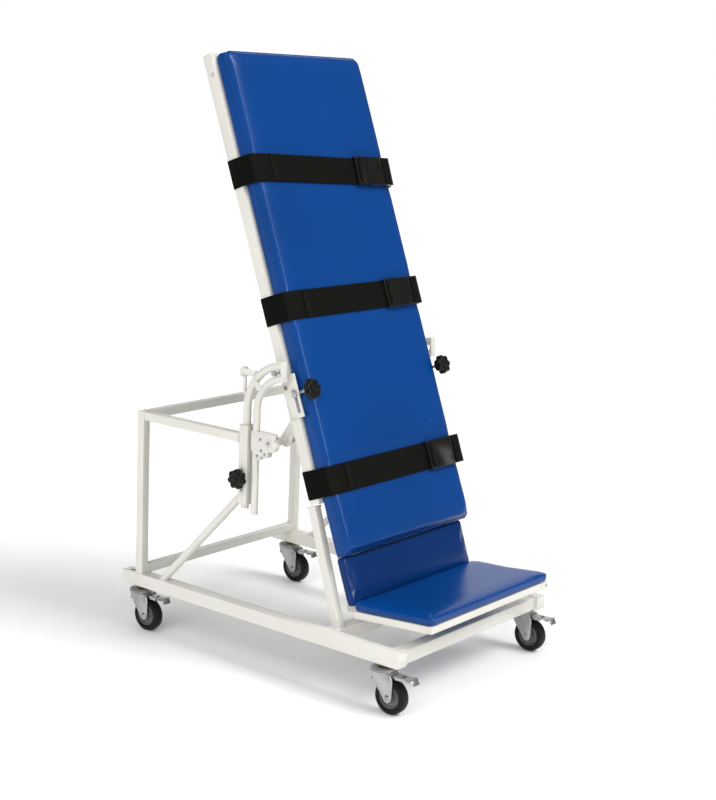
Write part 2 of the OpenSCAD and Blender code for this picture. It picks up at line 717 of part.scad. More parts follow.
module accessory_brackets() color("gainsboro") table_frame() both_sides() difference() {
    translate([side_rail_out, plate_from, plate_back]) cube([plate_t, plate_l, plate_front - plate_back]);
    block([plate_t * 3, plate_slot_l, plate_slot_w], [side_rail_out, plate_slot_s, slot_t]);
    for (s = screw_places) translate([side_rail_out, s, 0]) rotate([0, 90, 0])
        cylinder(d = screw_d + 2 * run_gap, h = 4 * plate_t, center = true);
}

module bracket_screws() color("dimgray") table_frame() both_sides() for (s = screw_places)
    translate([side_rail_out, s, 0]) rotate([0, 90, 0]) {
        cylinder(d = screw_d, h = plate_t);
        translate([0, 0, plate_t]) cylinder(d = screw_head_d, h = screw_d * 0.7);
    }

module bracket_stud(side) color("silver") table_frame() on_side(side) {
    for (x = [-slide_gap - shoe_t / 2, plate_t + slide_gap + shoe_t / 2])
        block([shoe_t, shoe_l, plate_slot_w + shoe_t], [side_rail_out + x, stud_s, slot_t]);
    block([plate_t + 2 * slide_gap, shoe_l - 2 * slide_gap, plate_slot_w - 2 * slide_gap],
        [side_rail_out + plate_t / 2, stud_s, slot_t]);
    translate([stud_x, stud_s, slot_t])
        cylinder(d = stud_d, h = knob_seat + knob_boss_h + knob_t / 2 - slot_t);
    translate([stud_x, stud_s, knob_seat - screw_d]) cylinder(d = knob_boss_d, h = screw_d - slide_gap);
}

module bracket_knob(side) color("#202020") table_frame() on_side(side)
    translate([stud_x, stud_s, knob_seat]) difference() {
        star_knob();
        translate([0, 0, -cut])
            cylinder(d = stud_d + 2 * run_gap, h = knob_boss_h + knob_t / 2 + cut + slide_gap);
    }

// Rollers that run between the bent tubes
module roller_pins() color("silver") table_frame() both_sides() translate([0, roller_r, 0])
    rotate([0, 90, 0])
    translate([0, 0, side_rail_x - side_rail_w / 2])
        cylinder(d = roller_pin_d, h = post_x + roller_l / 2 - side_rail_x + side_rail_w / 2);

module guide_roller(side) color("dimgray") table_frame() on_side(side) translate([post_x, roller_r, 0])
    rotate([0, 90, 0]) difference() {
        cylinder(d = roller_d, h = roller_l, center = true);
        cylinder(d = roller_pin_d + 2 * run_gap, h = roller_l + 2 * cut, center = true);
    }

// Straps: each is a belt right round the cushion and the side rails, with a buckle near the right edge
strap_places = [upper_strap, middle_strap, lower_strap];
strap_skews = [upper_skew, 0, 0];

function strap_half(gap) = concat(
    [[side_rail_out + gap, -table_back - gap], [side_rail_out + gap, table_back]],
    [for (i = [0:crown_steps]) let (d = crown_run * pow(i / crown_steps, 2))
        [pad_w / 2 + gap - d, pad_edge + gap + crown_rise(d, pad_crown)]]);

function strap_outline(gap) = let (half = strap_half(gap))
    concat(half, [for (i = [len(half) - 1:-1:0]) [-half[i].x, half[i].y]]);

module strap_band(i) color("#181818") table_frame() translate([0, strap_places[i] + strap_w / 2, 0])
    multmatrix([[1, 0, 0, 0], [-tan(strap_skews[i]), 1, 0, 0], [0, 0, 1, 0]]) rotate([90, 0, 0])
        linear_extrude(strap_w) difference() {
            polygon(strap_outline(soft_gap + strap_t));
            polygon(strap_outline(soft_gap));
        }

// Side release buckles; each one's right end lies in from the side of the cushion
upper_buckle_in = 11;
middle_buckle_in = 13;
lower_buckle_in = 2;
buckle_in = [upper_buckle_in, middle_buckle_in, lower_buckle_in];
buckle_over = 3;
buckle_wall = 2;
buckle_base = pad_edge + pad_crown + 2 * soft_gap + strap_t;
buckle_w = strap_w + buckle_over;
buckle_bar = 4;
buckle_slot = 4;
socket_l = buckle_l * 0.72;
plug_l = buckle_l - socket_l;
prong_l = 40;
prong_w = 9;
guide_w = 7;

module at_buckle(i) table_frame() translate([0, strap_places[i], 0]) rotate([0, 0, -strap_skews[i]])
    translate([pad_w / 2 - buckle_in[i] - plug_l, 0, buckle_base]) children();

module buckle_sockets() color("#101010") for (i = [0:2]) at_buckle(i) difference() {
    translate([-socket_l, -buckle_w / 2, 0]) cube([socket_l, buckle_w, buckle_t]);
    translate([-prong_l - slide_gap, -buckle_w / 2 + buckle_wall, buckle_wall])
        cube([prong_l + slide_gap + cut, buckle_w - 2 * buckle_wall, buckle_t - 2 * buckle_wall]);
    for (side = [-1, 1]) translate([-prong_l * 0.57, side * buckle_w / 2 - buckle_wall * 2, buckle_wall])
        cube([prong_l * 0.45, buckle_wall * 4, buckle_t - 2 * buckle_wall]);
    for (x = [buckle_bar, buckle_bar * 2.5 + buckle_slot])
        translate([x - socket_l, -buckle_w / 2 + buckle_wall * 2, -cut])
            cube([buckle_slot, buckle_w - 4 * buckle_wall, buckle_t + 2 * cut]);
}

module buckle_prong(y, w) translate([-prong_l, y - w / 2, buckle_wall + slide_gap])
    cube([prong_l + 2 * slide_gap, w, buckle_t - 2 * buckle_wall - 2 * slide_gap]);

module buckle_plug(i) color("#101010") at_buckle(i) {
    difference() {
        translate([slide_gap, -buckle_w / 2, 0]) cube([plug_l - slide_gap, buckle_w, buckle_t]);
        for (x = [buckle_bar, plug_l - buckle_bar - buckle_slot])
            translate([x, -buckle_w / 2 + buckle_wall * 2, -cut])
                cube([buckle_slot, buckle_w - 4 * buckle_wall, buckle_t + 2 * cut]);
    }
    prong_y = buckle_w / 2 - buckle_wall - slide_gap - prong_w / 2;
    for (y = [-prong_y, prong_y]) buckle_prong(y, prong_w);
    buckle_prong(0, guide_w);
}

base_rail(-1);  // left_base_rail
base_rail(1);  // right_base_rail
base_cross_tubes();
rear_uprights();
rear_cross_tubes();
side_top_tubes();
post(-1);  // left_post
post(1);  // right_post
brace_tubes();
front_legs();
caster_stems();
caster_fork(-1, -1);  // front_left_fork
caster_rim(-1, -1);  // front_left_rim
caster_tyre(-1, -1);  // front_left_tyre
brake_pedal(-1, -1);  // front_left_brake_pedal
caster_fork(1, -1);  // front_right_fork
caster_rim(1, -1);  // front_right_rim
caster_tyre(1, -1);  // front_right_tyre
brake_pedal(1, -1);  // front_right_brake_pedal
caster_fork(-1, 1);  // rear_left_fork
caster_rim(-1, 1);  // rear_left_rim
caster_tyre(-1, 1);  // rear_left_tyre
brake_pedal(-1, 1);  // rear_left_brake_pedal
caster_fork(1, 1);  // rear_right_fork
caster_rim(1, 1);  // rear_right_rim
caster_tyre(1, 1);  // rear_right_tyre
brake_pedal(1, 1);  // rear_right_brake_pedal
quadrant(-1);  // left_quadrant
quadrant(1);  // right_quadrant
pivot_brackets();
bracket_bolts();
pivot_cross_tube();
pivot_lugs();
pivot_pins();
clamp_nuts();
post_knob(-1);  // left_post_knob
post_knob(1);  // right_post_knob
side_rails();
table_cross_tubes();
pad_board();
main_pad();
lower_pad();
foot_frame();
foot_pad();
accessory_brackets();
bracket_screws();
bracket_stud(-1);  // left_bracket_stud
bracket_stud(1);  // right_bracket_stud
bracket_knob(-1);  // left_bracket_knob
bracket_knob(1);  // right_bracket_knob
guide_roller(-1);  // left_guide_roller
guide_roller(1);  // right_guide_roller
roller_pins();
strap_band(0);  // upper_strap_band
strap_band(1);  // middle_strap_band
strap_band(2);  // lower_strap_band
buckle_sockets();
buckle_plug(0);  // upper_buckle_plug
buckle_plug(1);  // middle_buckle_plug
buckle_plug(2);  // lower_buckle_plug
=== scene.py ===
import bpy
import json
import math
from mathutils import Matrix, Vector

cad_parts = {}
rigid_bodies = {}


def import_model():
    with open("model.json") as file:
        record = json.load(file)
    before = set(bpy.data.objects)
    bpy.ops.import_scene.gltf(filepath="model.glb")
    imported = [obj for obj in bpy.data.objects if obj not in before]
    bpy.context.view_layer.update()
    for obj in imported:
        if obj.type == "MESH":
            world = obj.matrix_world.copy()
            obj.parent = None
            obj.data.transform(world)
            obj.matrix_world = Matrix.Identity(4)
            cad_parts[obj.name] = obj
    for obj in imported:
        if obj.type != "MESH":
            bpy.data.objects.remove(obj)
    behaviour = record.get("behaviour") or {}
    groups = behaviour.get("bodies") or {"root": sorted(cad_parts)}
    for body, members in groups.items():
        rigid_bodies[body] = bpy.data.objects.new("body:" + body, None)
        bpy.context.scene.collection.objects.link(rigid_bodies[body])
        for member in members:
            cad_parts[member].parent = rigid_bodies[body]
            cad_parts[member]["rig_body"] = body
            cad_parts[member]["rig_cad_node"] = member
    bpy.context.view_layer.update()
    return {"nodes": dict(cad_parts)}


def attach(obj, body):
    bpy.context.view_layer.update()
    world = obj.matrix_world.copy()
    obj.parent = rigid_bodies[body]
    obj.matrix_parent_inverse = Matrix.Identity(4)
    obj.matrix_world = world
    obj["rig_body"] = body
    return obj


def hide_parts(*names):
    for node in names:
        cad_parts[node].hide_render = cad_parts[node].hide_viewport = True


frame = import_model()

# Camera: a long lens, 1.26 m above the floor, to the left of the table and in front of it. It looks
# down a little and is rolled by about two degrees.
camera_at = (-2.7169, -2.1754, 1.2606)
camera_heading, camera_dip, camera_roll = -51.4155, 10.9401, 2.2885

bpy.ops.object.select_all(action="DESELECT")
bpy.ops.object.camera_add()
camera = bpy.context.object
camera.name = "camera"
camera.matrix_world = (
    Matrix.Translation(camera_at)
    @ Matrix.Rotation(math.radians(camera_heading), 4, "Z")
    @ Matrix.Rotation(math.radians(90 - camera_dip), 4, "X")
    @ Matrix.Rotation(math.radians(camera_roll), 4, "Z")
)
camera.data.sensor_fit = "HORIZONTAL"
camera.data.sensor_width = 36
camera.data.lens = 78.88
camera.data.shift_x = 0.01275
camera.data.shift_y = -0.01188
bpy.context.scene.camera = camera

# Studio: a wide matt white floor that runs into a white surround. The key light stands high in front, a
# broader one on the left fills in, and gloss alone catches two low gleams and a dimmer room.
bpy.ops.mesh.primitive_plane_add(size=60, location=(0, 0, 0))
floor = bpy.context.object
floor.name = "studio_floor"
floor_paint = bpy.data.materials.new("studio_floor_white")
floor_paint.use_nodes = True
floor_shader = floor_paint.node_tree.nodes["Principled BSDF"]
floor_shader.inputs["Base Color"].default_value = (0.92, 0.92, 0.92, 1)
floor_shader.inputs["Roughness"].default_value = 0.6
floor_shader.inputs["Specular IOR Level"].default_value = 0.1
floor.data.materials.append(floor_paint)

surround = bpy.data.worlds.new("studio_surround")
surround.use_nodes = True
sky_nodes, sky_links = surround.node_tree.nodes, surround.node_tree.links
backdrop = sky_nodes["Background"]
backdrop.inputs["Color"].default_value = (1, 1, 1, 1)
backdrop.inputs["Strength"].default_value = 1.0
ambient = sky_nodes.new("ShaderNodeBackground")
ambient.inputs["Strength"].default_value = 0.68
dim_room = sky_nodes.new("ShaderNodeBackground")
dim_room.inputs["Strength"].default_value = 0.15
ray = sky_nodes.new("ShaderNodeLightPath")
gloss_or_light = sky_nodes.new("ShaderNodeMixShader")
seen_or_not = sky_nodes.new("ShaderNodeMixShader")
sky_links.new(ray.outputs["Is Glossy Ray"], gloss_or_light.inputs[0])
sky_links.new(ambient.outputs[0], gloss_or_light.inputs[1])
sky_links.new(dim_room.outputs[0], gloss_or_light.inputs[2])
sky_links.new(ray.outputs["Is Camera Ray"], seen_or_not.inputs[0])
sky_links.new(gloss_or_light.outputs[0], seen_or_not.inputs[1])
sky_links.new(backdrop.outputs[0], seen_or_not.inputs[2])
sky_links.new(seen_or_not.outputs[0], sky_nodes["World Output"].inputs["Surface"])
bpy.context.scene.world = surround
bpy.context.scene.view_settings.view_transform = "Standard"

for light_name, shines_from, spread, power in (
    ("key_light", (0.20, -0.62, 0.76), 28, 2.0),
    ("left_light", (-0.85, -0.25, 0.50), 60, 1.6),
    ("front_gleam", (-0.02, -0.93, 0.38), 12, 0.95),
    ("back_gleam", (0.80, 0.52, 0.30), 44, 0.34),
):
    bpy.ops.object.light_add(type="SUN", location=(0, 0, 3))
    lamp = bpy.context.object
    lamp.name = light_name
    lamp.data.angle = math.radians(spread)
    lamp.data.energy = power
    lamp.visible_glossy = light_name != "left_light"
    lamp.visible_diffuse = not light_name.endswith("gleam")
    lamp.rotation_euler = (-Vector(shines_from)).to_track_quat("-Z", "Y").to_euler()


# Frame: mild steel tube, welded and powder coated warm white, with the coat's fine orange peel.
# Each CAD piece of it is copied, and its edges are rounded as those of drawn tube and cut plate are.
def finish(name, dark, light, patch, rough, grain, bump, metal=0.0, specular=0.5):
    """A finish whose tone drifts between two colours over patches, with a fine surface grain."""
    made = bpy.data.materials.new(name)
    made.use_nodes = True
    nodes, links = made.node_tree.nodes, made.node_tree.links
    shader = nodes["Principled BSDF"]
    place = nodes.new("ShaderNodeTexCoord")
    drift = nodes.new("ShaderNodeTexNoise")
    drift.inputs["Scale"].default_value = 1 / patch
    drift.inputs["Detail"].default_value = 5
    links.new(place.outputs["Object"], drift.inputs["Vector"])
    tone = nodes.new("ShaderNodeValToRGB")
    tone.color_ramp.elements[0].position = 0.32
    tone.color_ramp.elements[0].color = (*dark, 1)
    tone.color_ramp.elements[1].position = 0.62
    tone.color_ramp.elements[1].color = (*light, 1)
    links.new(drift.outputs["Fac"], tone.inputs["Fac"])
    links.new(tone.outputs["Color"], shader.inputs["Base Color"])
    gloss = nodes.new("ShaderNodeMapRange")
    gloss.inputs["To Min"].default_value = rough * 1.15
    gloss.inputs["To Max"].default_value = rough * 0.85
    links.new(drift.outputs["Fac"], gloss.inputs["Value"])
    links.new(gloss.outputs["Result"], shader.inputs["Roughness"])
    fine = nodes.new("ShaderNodeTexNoise")
    fine.inputs["Scale"].default_value = 1 / grain
    fine.inputs["Detail"].default_value = 3
    links.new(place.outputs["Object"], fine.inputs["Vector"])
    relief = nodes.new("ShaderNodeBump")
    relief.inputs["Strength"].default_value = 0.6
    relief.inputs["Distance"].default_value = bump
    links.new(fine.outputs["Fac"], relief.inputs["Height"])
    links.new(relief.outputs["Normal"], shader.inputs["Normal"])
    shader.inputs["Metallic"].default_value = metal
    shader.inputs["Specular IOR Level"].default_value = specular
    return made


def pick(*pieces):
    """Selects only these pieces, the last one active."""
    if bpy.context.object and bpy.context.object.mode != "OBJECT":
        bpy.ops.object.mode_set(mode="OBJECT")
    bpy.ops.object.select_all(action="DESELECT")
    for piece in pieces:
        piece.select_set(True)
    bpy.context.view_layer.objects.active = pieces[-1]


def copy_node(node):
    """A free copy of a CAD node with its corners merged and its flats made whole again."""
    source = frame["nodes"][node]
    piece = source.copy()
    piece.data = source.data.copy()
    piece.name = node + "_made"
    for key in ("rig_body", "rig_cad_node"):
        if key in piece:
            del piece[key]
    piece.parent = None
    bpy.context.collection.objects.link(piece)
    pick(piece)
    bpy.ops.object.mode_set(mode="EDIT")
    bpy.ops.mesh.select_all(action="SELECT")
    bpy.ops.mesh.remove_doubles(threshold=0.00002)
    bpy.ops.mesh.dissolve_limited(angle_limit=math.radians(0.6))
    bpy.ops.object.mode_set(mode="OBJECT")
    return piece


def rounded(piece, radius, segments=2, angle=34):
    """Rounds the sharp edges of a piece and smooths what curves."""
    pick(piece)
    edge = piece.modifiers.new("edge_radius", "BEVEL")
    edge.width = radius
    edge.segments = segments
    edge.limit_method = "ANGLE"
    edge.angle_limit = math.radians(angle)
    bpy.ops.object.modifier_apply(modifier=edge.name)
    bpy.ops.object.shade_smooth_by_angle(angle=math.radians(38))
    return piece


def dressed(piece, material, body, *nodes):
    """Gives a piece its finish, its body and the CAD nodes that it stands for."""
    piece.data.materials.clear()
    piece.data.materials.append(material)
    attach(piece, body)
    if nodes:
        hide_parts(*nodes)
    return piece


def body_of(node):
    """The body that a CAD node rides on."""
    return frame["nodes"][node]["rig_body"]


white_coat = finish(
    "warm_white_powder_coat", (0.625, 0.610, 0.560), (0.685, 0.675, 0.625),
    patch=0.22, rough=0.28, grain=0.0011, bump=0.00006, specular=0.55,
)
for node, edge_radius in (
    ("left_base_rail", 0.0022), ("right_base_rail", 0.0022), ("base_cross_tubes", 0.0004),
    ("rear_uprights", 0.0018), ("rear_cross_tubes", 0.0004), ("side_top_tubes", 0.0004),
    ("left_post", 0.0005), ("right_post", 0.0005), ("brace_tubes", 0.0004), ("front_legs", 0.0005),
    ("left_quadrant", 0.0004), ("right_quadrant", 0.0004),
    ("pivot_cross_tube", 0.0005), ("pivot_lugs", 0.0008), ("side_rails", 0.0018),
    ("table_cross_tubes", 0.0004), ("foot_frame", 0.0006), ("accessory_brackets", 0.0006),
):
    dressed(rounded(copy_node(node), edge_radius), white_coat, body_of(node), node)


# Welds: the joints of the white tubes have a fillet of overlapping ripples, painted over with the
# frame. A bead runs round each tube's end, 0.3 mm off its faces.
def put(piece, matrix):
    """Applies a place to a piece's mesh, so that its object stays at the origin."""
    piece.data.transform(matrix)
    piece.matrix_world = Matrix.Identity(4)
    piece.data.update()
    return piece


def joined(name, *pieces):
    """One piece from several."""
    pick(*pieces)
    bpy.ops.object.join()
    whole = bpy.context.object
    whole.name = name
    return whole


def bead(name, path, thick=0.0036, ripple=0.0021):
    """A weld bead along a closed row of points, which swells and thins along each ripple."""
    swells, unevenness, uneven_rate = (0.94, 1.10), 0.05, 1.7
    corners = [Vector(p) for p in path]
    dots = []
    for a, b in zip(corners, corners[1:] + corners[:1]):
        parts = max(1, round((b - a).length / (ripple / 2)))
        dots += [a.lerp(b, i / parts) for i in range(parts)]
    bpy.ops.object.select_all(action="DESELECT")
    bpy.ops.curve.primitive_bezier_curve_add()
    line = bpy.context.object
    line.name = name
    line.data.splines.remove(line.data.splines[0])
    spline = line.data.splines.new("POLY")
    spline.points.add(len(dots) - 1)
    for i, (point, at) in enumerate(zip(spline.points, dots)):
        point.co = (*at, 1)
        point.radius = swells[i % 2] + unevenness * math.sin(i * uneven_rate)
    spline.use_cyclic_u = True
    line.data.dimensions = "3D"
    line.data.bevel_depth = thick / 2
    line.data.bevel_resolution = 1
    pick(line)
    bpy.ops.object.convert(target="MESH")
    bpy.ops.object.shade_smooth()
    return put(bpy.context.object, Matrix.Identity(4))


def square_ring(centre, half, u, v):
    """Points round a square tube's section, its corners cut."""
    centre, u, v = Vector(centre), Vector(u), Vector(v)
    cut = 0.18
    turns = [(1, -1 + cut), (1, 1 - cut), (1 - cut, 1), (-1 + cut, 1)]
    turns += [(-1, 1 - cut), (-1, -1 + cut), (-1 + cut, -1), (1 - cut, -1)]
    return [centre + u * (a * half[0]) + v * (b * half[1]) for a, b in turns]


def round_ring(centre, half, u, v, corners=32):
    """Points round a round tube's section, which is an ellipse where the tube is cut at a slant."""
    centre, u, v = Vector(centre), Vector(u), Vector(v)
    turns = [2 * math.pi * i / corners for i in range(corners)]
    return [centre + u * (math.cos(a) * half[0]) + v * (math.sin(a) * half[1]) for a in turns]


pivot_y, pivot_z, table_tilt = -0.049308, 0.575022, 69.5
table_place = Matrix.Translation((0, pivot_y, pivot_z)) @ Matrix.Rotation(math.radians(table_tilt), 4, "X")
east, north, up = (1, 0, 0), (0, 1, 0), (0, 0, 1)

tube_half, leg_half, rail_half = (0.0103, 0.0103), (0.0103, 0.0108), (0.0152, 0.0152)
brace_foot_half, brace_top_half, lug_half = (0.0094, 0.0128), (0.0094, 0.0133), (0.0093, 0.0093)
upright_x, upright_inner_x, upright_y = 0.268, 0.2578, 0.3737
upright_front_y, post_back_y = 0.3635, 0.0704
rail_top_z, low_tube_z, top_tube_z = 0.1342, 0.1442, 0.5100
post_x, brace_foot_y, brace_top_z = 0.2655, 0.3037, 0.3775
leg_x, front_tube_ys = 0.228, (-0.1863, -0.3633)
rail_inner_x, rail_middle_z = 0.2478, 0.1190
lug_inner_x, lug_y = 0.2114, -0.0123
side_rail_inner_x, table_tube_t = 0.2178, 0.0025
table_tube_places = (-0.186, 0.13498, 0.44464, 0.754)
base_beads, carriage_beads, table_beads = [], [], []
for x in (-1, 1):
    base_beads += [
        bead("bead", square_ring((x * upright_x, upright_y, rail_top_z), tube_half, east, north)),
        bead("bead", square_ring((x * upright_inner_x, upright_y, low_tube_z), tube_half, north, up)),
        bead("bead", square_ring((x * upright_inner_x, upright_y, top_tube_z), tube_half, north, up)),
        bead("bead", square_ring((x * upright_x, post_back_y, top_tube_z), tube_half, east, up)),
        bead("bead", square_ring((x * upright_x, upright_front_y, top_tube_z), tube_half, east, up)),
        bead("bead", square_ring((x * leg_x, front_tube_ys[0], rail_top_z), leg_half, east, north)),
        bead("bead", round_ring((x * post_x, brace_foot_y, rail_top_z), brace_foot_half, east, north)),
        bead("bead", round_ring((x * post_x, post_back_y, brace_top_z), brace_top_half, east, up)),
    ]
    for y in front_tube_ys:
        at = (x * rail_inner_x, y, rail_middle_z)
        base_beads.append(bead("bead", square_ring(at, rail_half, north, up)))
    carriage_beads.append(bead("bead", round_ring((x * lug_inner_x, lug_y, top_tube_z), lug_half, north, up)))
    for s in table_tube_places:
        at = (x * side_rail_inner_x, s, table_tube_t)
        table_beads.append(bead("bead", square_ring(at, tube_half, north, up)))
dressed(joined("base_weld_beads", *base_beads), white_coat, body_of("rear_uprights"))
dressed(joined("carriage_weld_beads", *carriage_beads), white_coat, body_of("pivot_lugs"))
dressed(put(joined("table_weld_beads", *table_beads), table_place), white_coat, "table")

# Fasteners and rollers: pins, bolts and nuts of zinc plated steel, duller screws in the brackets,
# yellow passivated caster stems, and guide rollers turned from white nylon.
zinc = finish(
    "bright_zinc", (0.42, 0.43, 0.43), (0.52, 0.53, 0.53),
    patch=0.03, rough=0.33, grain=0.0006, bump=0.00003, metal=0.92,
)
dark_zinc = finish(
    "dull_zinc", (0.20, 0.195, 0.18), (0.34, 0.33, 0.31),
    patch=0.01, rough=0.38, grain=0.0006, bump=0.00003, metal=1.0,
)
brass_zinc = finish(
    "yellow_chromate_zinc", (0.42, 0.28, 0.12), (0.62, 0.44, 0.2),
    patch=0.01, rough=0.32, grain=0.0006, bump=0.00003, metal=1.0,
)
nylon = finish(
    "white_nylon", (0.42, 0.42, 0.40), (0.52, 0.52, 0.50),
    patch=0.02, rough=0.4, grain=0.0008, bump=0.00003,
)
for node, material, edge_radius in (
    ("pivot_pins", zinc, 0.0004), ("clamp_nuts", zinc, 0.0004), ("left_bracket_stud", zinc, 0.0004),
    ("right_bracket_stud", zinc, 0.0004), ("roller_pins", zinc, 0.0004),
    ("bracket_screws", dark_zinc, 0.0004), ("caster_stems", brass_zinc, 0.0004),
    ("left_guide_roller", nylon, 0.0006), ("right_guide_roller", nylon, 0.0006),
):
    dressed(rounded(copy_node(node), edge_radius), material, body_of(node), node)


# Pivot brackets: lobed blocks cut from plate, which clasp the inner tubes and carry the cross tube.
# Five bolts go through each block, and three more screw into its front and back edges.
def arc(centre, radius, start, stop, steps=9):
    """Points along an arc, from one angle to another."""
    turns = [math.radians(start + (stop - start) * i / steps) for i in range(steps + 1)]
    return [(centre[0] + radius * math.cos(a), centre[1] + radius * math.sin(a)) for a in turns]


def plate(name, outline, thick, radius):
    """A flat plate from an outline of (across, up) points, extruded both ways along X, edges rounded."""
    bpy.ops.object.select_all(action="DESELECT")
    bpy.ops.mesh.primitive_circle_add(vertices=len(outline), radius=1, fill_type="NGON")
    piece = bpy.context.object
    piece.name = name
    for corner, (a, b) in zip(piece.data.vertices, outline):
        corner.co = (-thick / 2, a, b)
    bpy.ops.object.mode_set(mode="EDIT")
    bpy.ops.mesh.select_all(action="SELECT")
    bpy.ops.mesh.extrude_region_move(TRANSFORM_OT_translate={"value": (thick, 0, 0)})
    bpy.ops.mesh.select_all(action="SELECT")
    bpy.ops.mesh.normals_make_consistent(inside=False)
    bpy.ops.object.mode_set(mode="OBJECT")
    return rounded(piece, radius, 2, 25)


def turned(name, outline, steps=64):
    """A closed outline of (radius, height) points, spun round the X axis."""
    bpy.ops.object.select_all(action="DESELECT")
    bpy.ops.mesh.primitive_circle_add(vertices=len(outline), radius=1)
    piece = bpy.context.object
    piece.name = name
    for corner, (r, h) in zip(piece.data.vertices, outline):
        corner.co = (h, r, 0)
    bpy.ops.object.mode_set(mode="EDIT")
    bpy.ops.mesh.select_all(action="SELECT")
    bpy.ops.mesh.spin(steps=steps, angle=2 * math.pi, center=(0, 0, 0), axis=(1, 0, 0))
    bpy.ops.mesh.select_all(action="SELECT")
    bpy.ops.mesh.remove_doubles(threshold=0.00001)
    bpy.ops.mesh.normals_make_consistent(inside=False)
    bpy.ops.object.mode_set(mode="OBJECT")
    bpy.ops.object.shade_smooth_by_angle(angle=math.radians(40))
    return piece


def again(piece, name, matrix):
    """Another of the same piece, with its own mesh, put in its place."""
    other = piece.copy()
    other.data = piece.data.copy()
    other.name = name
    bpy.context.collection.objects.link(other)
    return put(other, matrix)


bracket_thick, bracket_edge_r = 0.017, 0.0014
bracket_back_y, bracket_front_y, bracket_top_z, bracket_low_z = 0.0870, 0.0300, -0.0440, -0.0860
bracket_outline = [(bracket_back_y, bracket_top_z), (bracket_front_y, bracket_top_z)]
bracket_outline += arc((0.0290, -0.0530), 0.0090, 100, 215) + [(0.0232, -0.0600)]
bracket_outline += arc((0.0310, -0.0715), 0.0125, 130, 290, 14) + [(0.0390, -0.0850)]
bracket_outline += arc((0.0470, -0.0910), 0.0085, 170, 320) + [(0.0580, -0.0945)]
bracket_outline += arc((0.0680, -0.0980), 0.0090, 190, 350) + [(bracket_back_y, bracket_low_z)]
bracket = plate("pivot_bracket", bracket_outline, bracket_thick, bracket_edge_r)
both = []
for x in (-post_x, post_x):
    both.append(again(bracket, "pivot_bracket", Matrix.Translation((x, pivot_y, pivot_z))))
bpy.data.objects.remove(bracket)
dressed(joined("pivot_brackets_made", *both), white_coat, body_of("pivot_brackets"), "pivot_brackets")

bolt_outline = [
    (0, 0), (0.0036, 0), (0.0036, 0.0006), (0.0029, 0.0007), (0.0028, 0.0021), (0.0022, 0.0026), (0, 0.0026),
]
face_bolts = ((0.0600, -0.0600), (0.0370, -0.0650), (0.0570, -0.0840), (0.0470, -0.0910), (0.0680, -0.0975))
edge_bolts = ((bracket_back_y, -0.0520, 90), (bracket_back_y, -0.0780, 90), (0.0200, -0.0520, -90))
bolt_head = turned("bolt_head", bolt_outline, 24)
heads = []
for x in (-post_x, post_x):
    for y, z in face_bolts:
        for out in (-1, 1):
            at = Matrix.Translation((x + out * bracket_thick / 2, y + pivot_y, z + pivot_z))
            facing = Matrix.Rotation(0 if out > 0 else math.pi, 4, "Y")
            heads.append(again(bolt_head, "bolt_head", at @ facing))
    for y, z, turn in edge_bolts:
        at = Matrix.Translation((x, y + pivot_y, z + pivot_z))
        heads.append(again(bolt_head, "bolt_head", at @ Matrix.Rotation(math.radians(turn), 4, "Z")))
bpy.data.objects.remove(bolt_head)
dressed(joined("bracket_bolts_made", *heads), zinc, body_of("pivot_brackets"), "bracket_bolts")


# Caster forks: two cheeks, a crown and a back pressed from zinc plated sheet, under a double-lipped
# ball race. The axle is a rivet bolt through the cheeks, with a round head on each side.
def box_piece(name, size, at, radius, segments=2):
    """A block of bar or folded sheet with rounded edges."""
    bpy.ops.object.select_all(action="DESELECT")
    bpy.ops.mesh.primitive_cube_add(size=1, location=(0, 0, 0))
    piece = bpy.context.object
    piece.name = name
    put(piece, Matrix.Translation(at) @ Matrix.Diagonal((*size, 1)))
    return rounded(piece, radius, segments, 25)


caster_places = {
    "front_left": (-0.263, -0.33731), "front_right": (0.263, -0.33731),
    "rear_left": (-0.263, 0.37869), "rear_right": (0.263, 0.37869),
}
caster_trail, wheel_r = 0.025, 0.0375
axle_at = Matrix.Translation((0, -caster_trail, wheel_r))
stem_up = Matrix.Rotation(math.radians(-90), 4, "Y")

cheek_outline = [
    (0.019, 0.0884), (0.018, 0.0810), (0.010, 0.0665), (-0.0145, 0.0345), (-0.0185, 0.0288),
    (-0.025, 0.0265), (-0.0315, 0.0290), (-0.0352, 0.0345), (-0.0362, 0.042),
    (-0.0366, 0.0700), (-0.0350, 0.0800), (-0.0300, 0.0884),
]
cheek_x, cheek_thick, cheek_edge_r = 0.016, 0.003, 0.0011
fork_cheek = plate("fork_cheek", cheek_outline, cheek_thick, cheek_edge_r)
far_cheek = again(fork_cheek, "far_cheek", Matrix.Translation((cheek_x, 0, 0)))
put(fork_cheek, Matrix.Translation((-cheek_x, 0, 0)))
fork_crown = box_piece("fork_crown", (0.035, 0.048, 0.0035), (0, -0.0055, 0.0876), 0.0012)
fork_back = box_piece("fork_back", (0.032, 0.0025, 0.020), (0, 0.018, 0.0795), 0.0008)
race_outline = [
    (0.0075, 0.0865), (0.0225, 0.0865), (0.0262, 0.0882), (0.0270, 0.0892), (0.0270, 0.0904),
    (0.0258, 0.0912), (0.0256, 0.0922), (0.0266, 0.0930), (0.0268, 0.0942), (0.0255, 0.0958),
    (0.0225, 0.0968), (0.0140, 0.0974), (0.0095, 0.0976), (0.0075, 0.0974),
]
race = put(turned("ball_race", race_outline, 64), stem_up)
axle_head_outline = [
    (0, 0), (0.0062, 0), (0.0062, 0.0012), (0.0055, 0.0024), (0.0040, 0.0030),
    (0.0025, 0.0030), (0.0021, 0.0019), (0, 0.0019),
]
cheek_outer_x = 0.0175
axle_heads = []
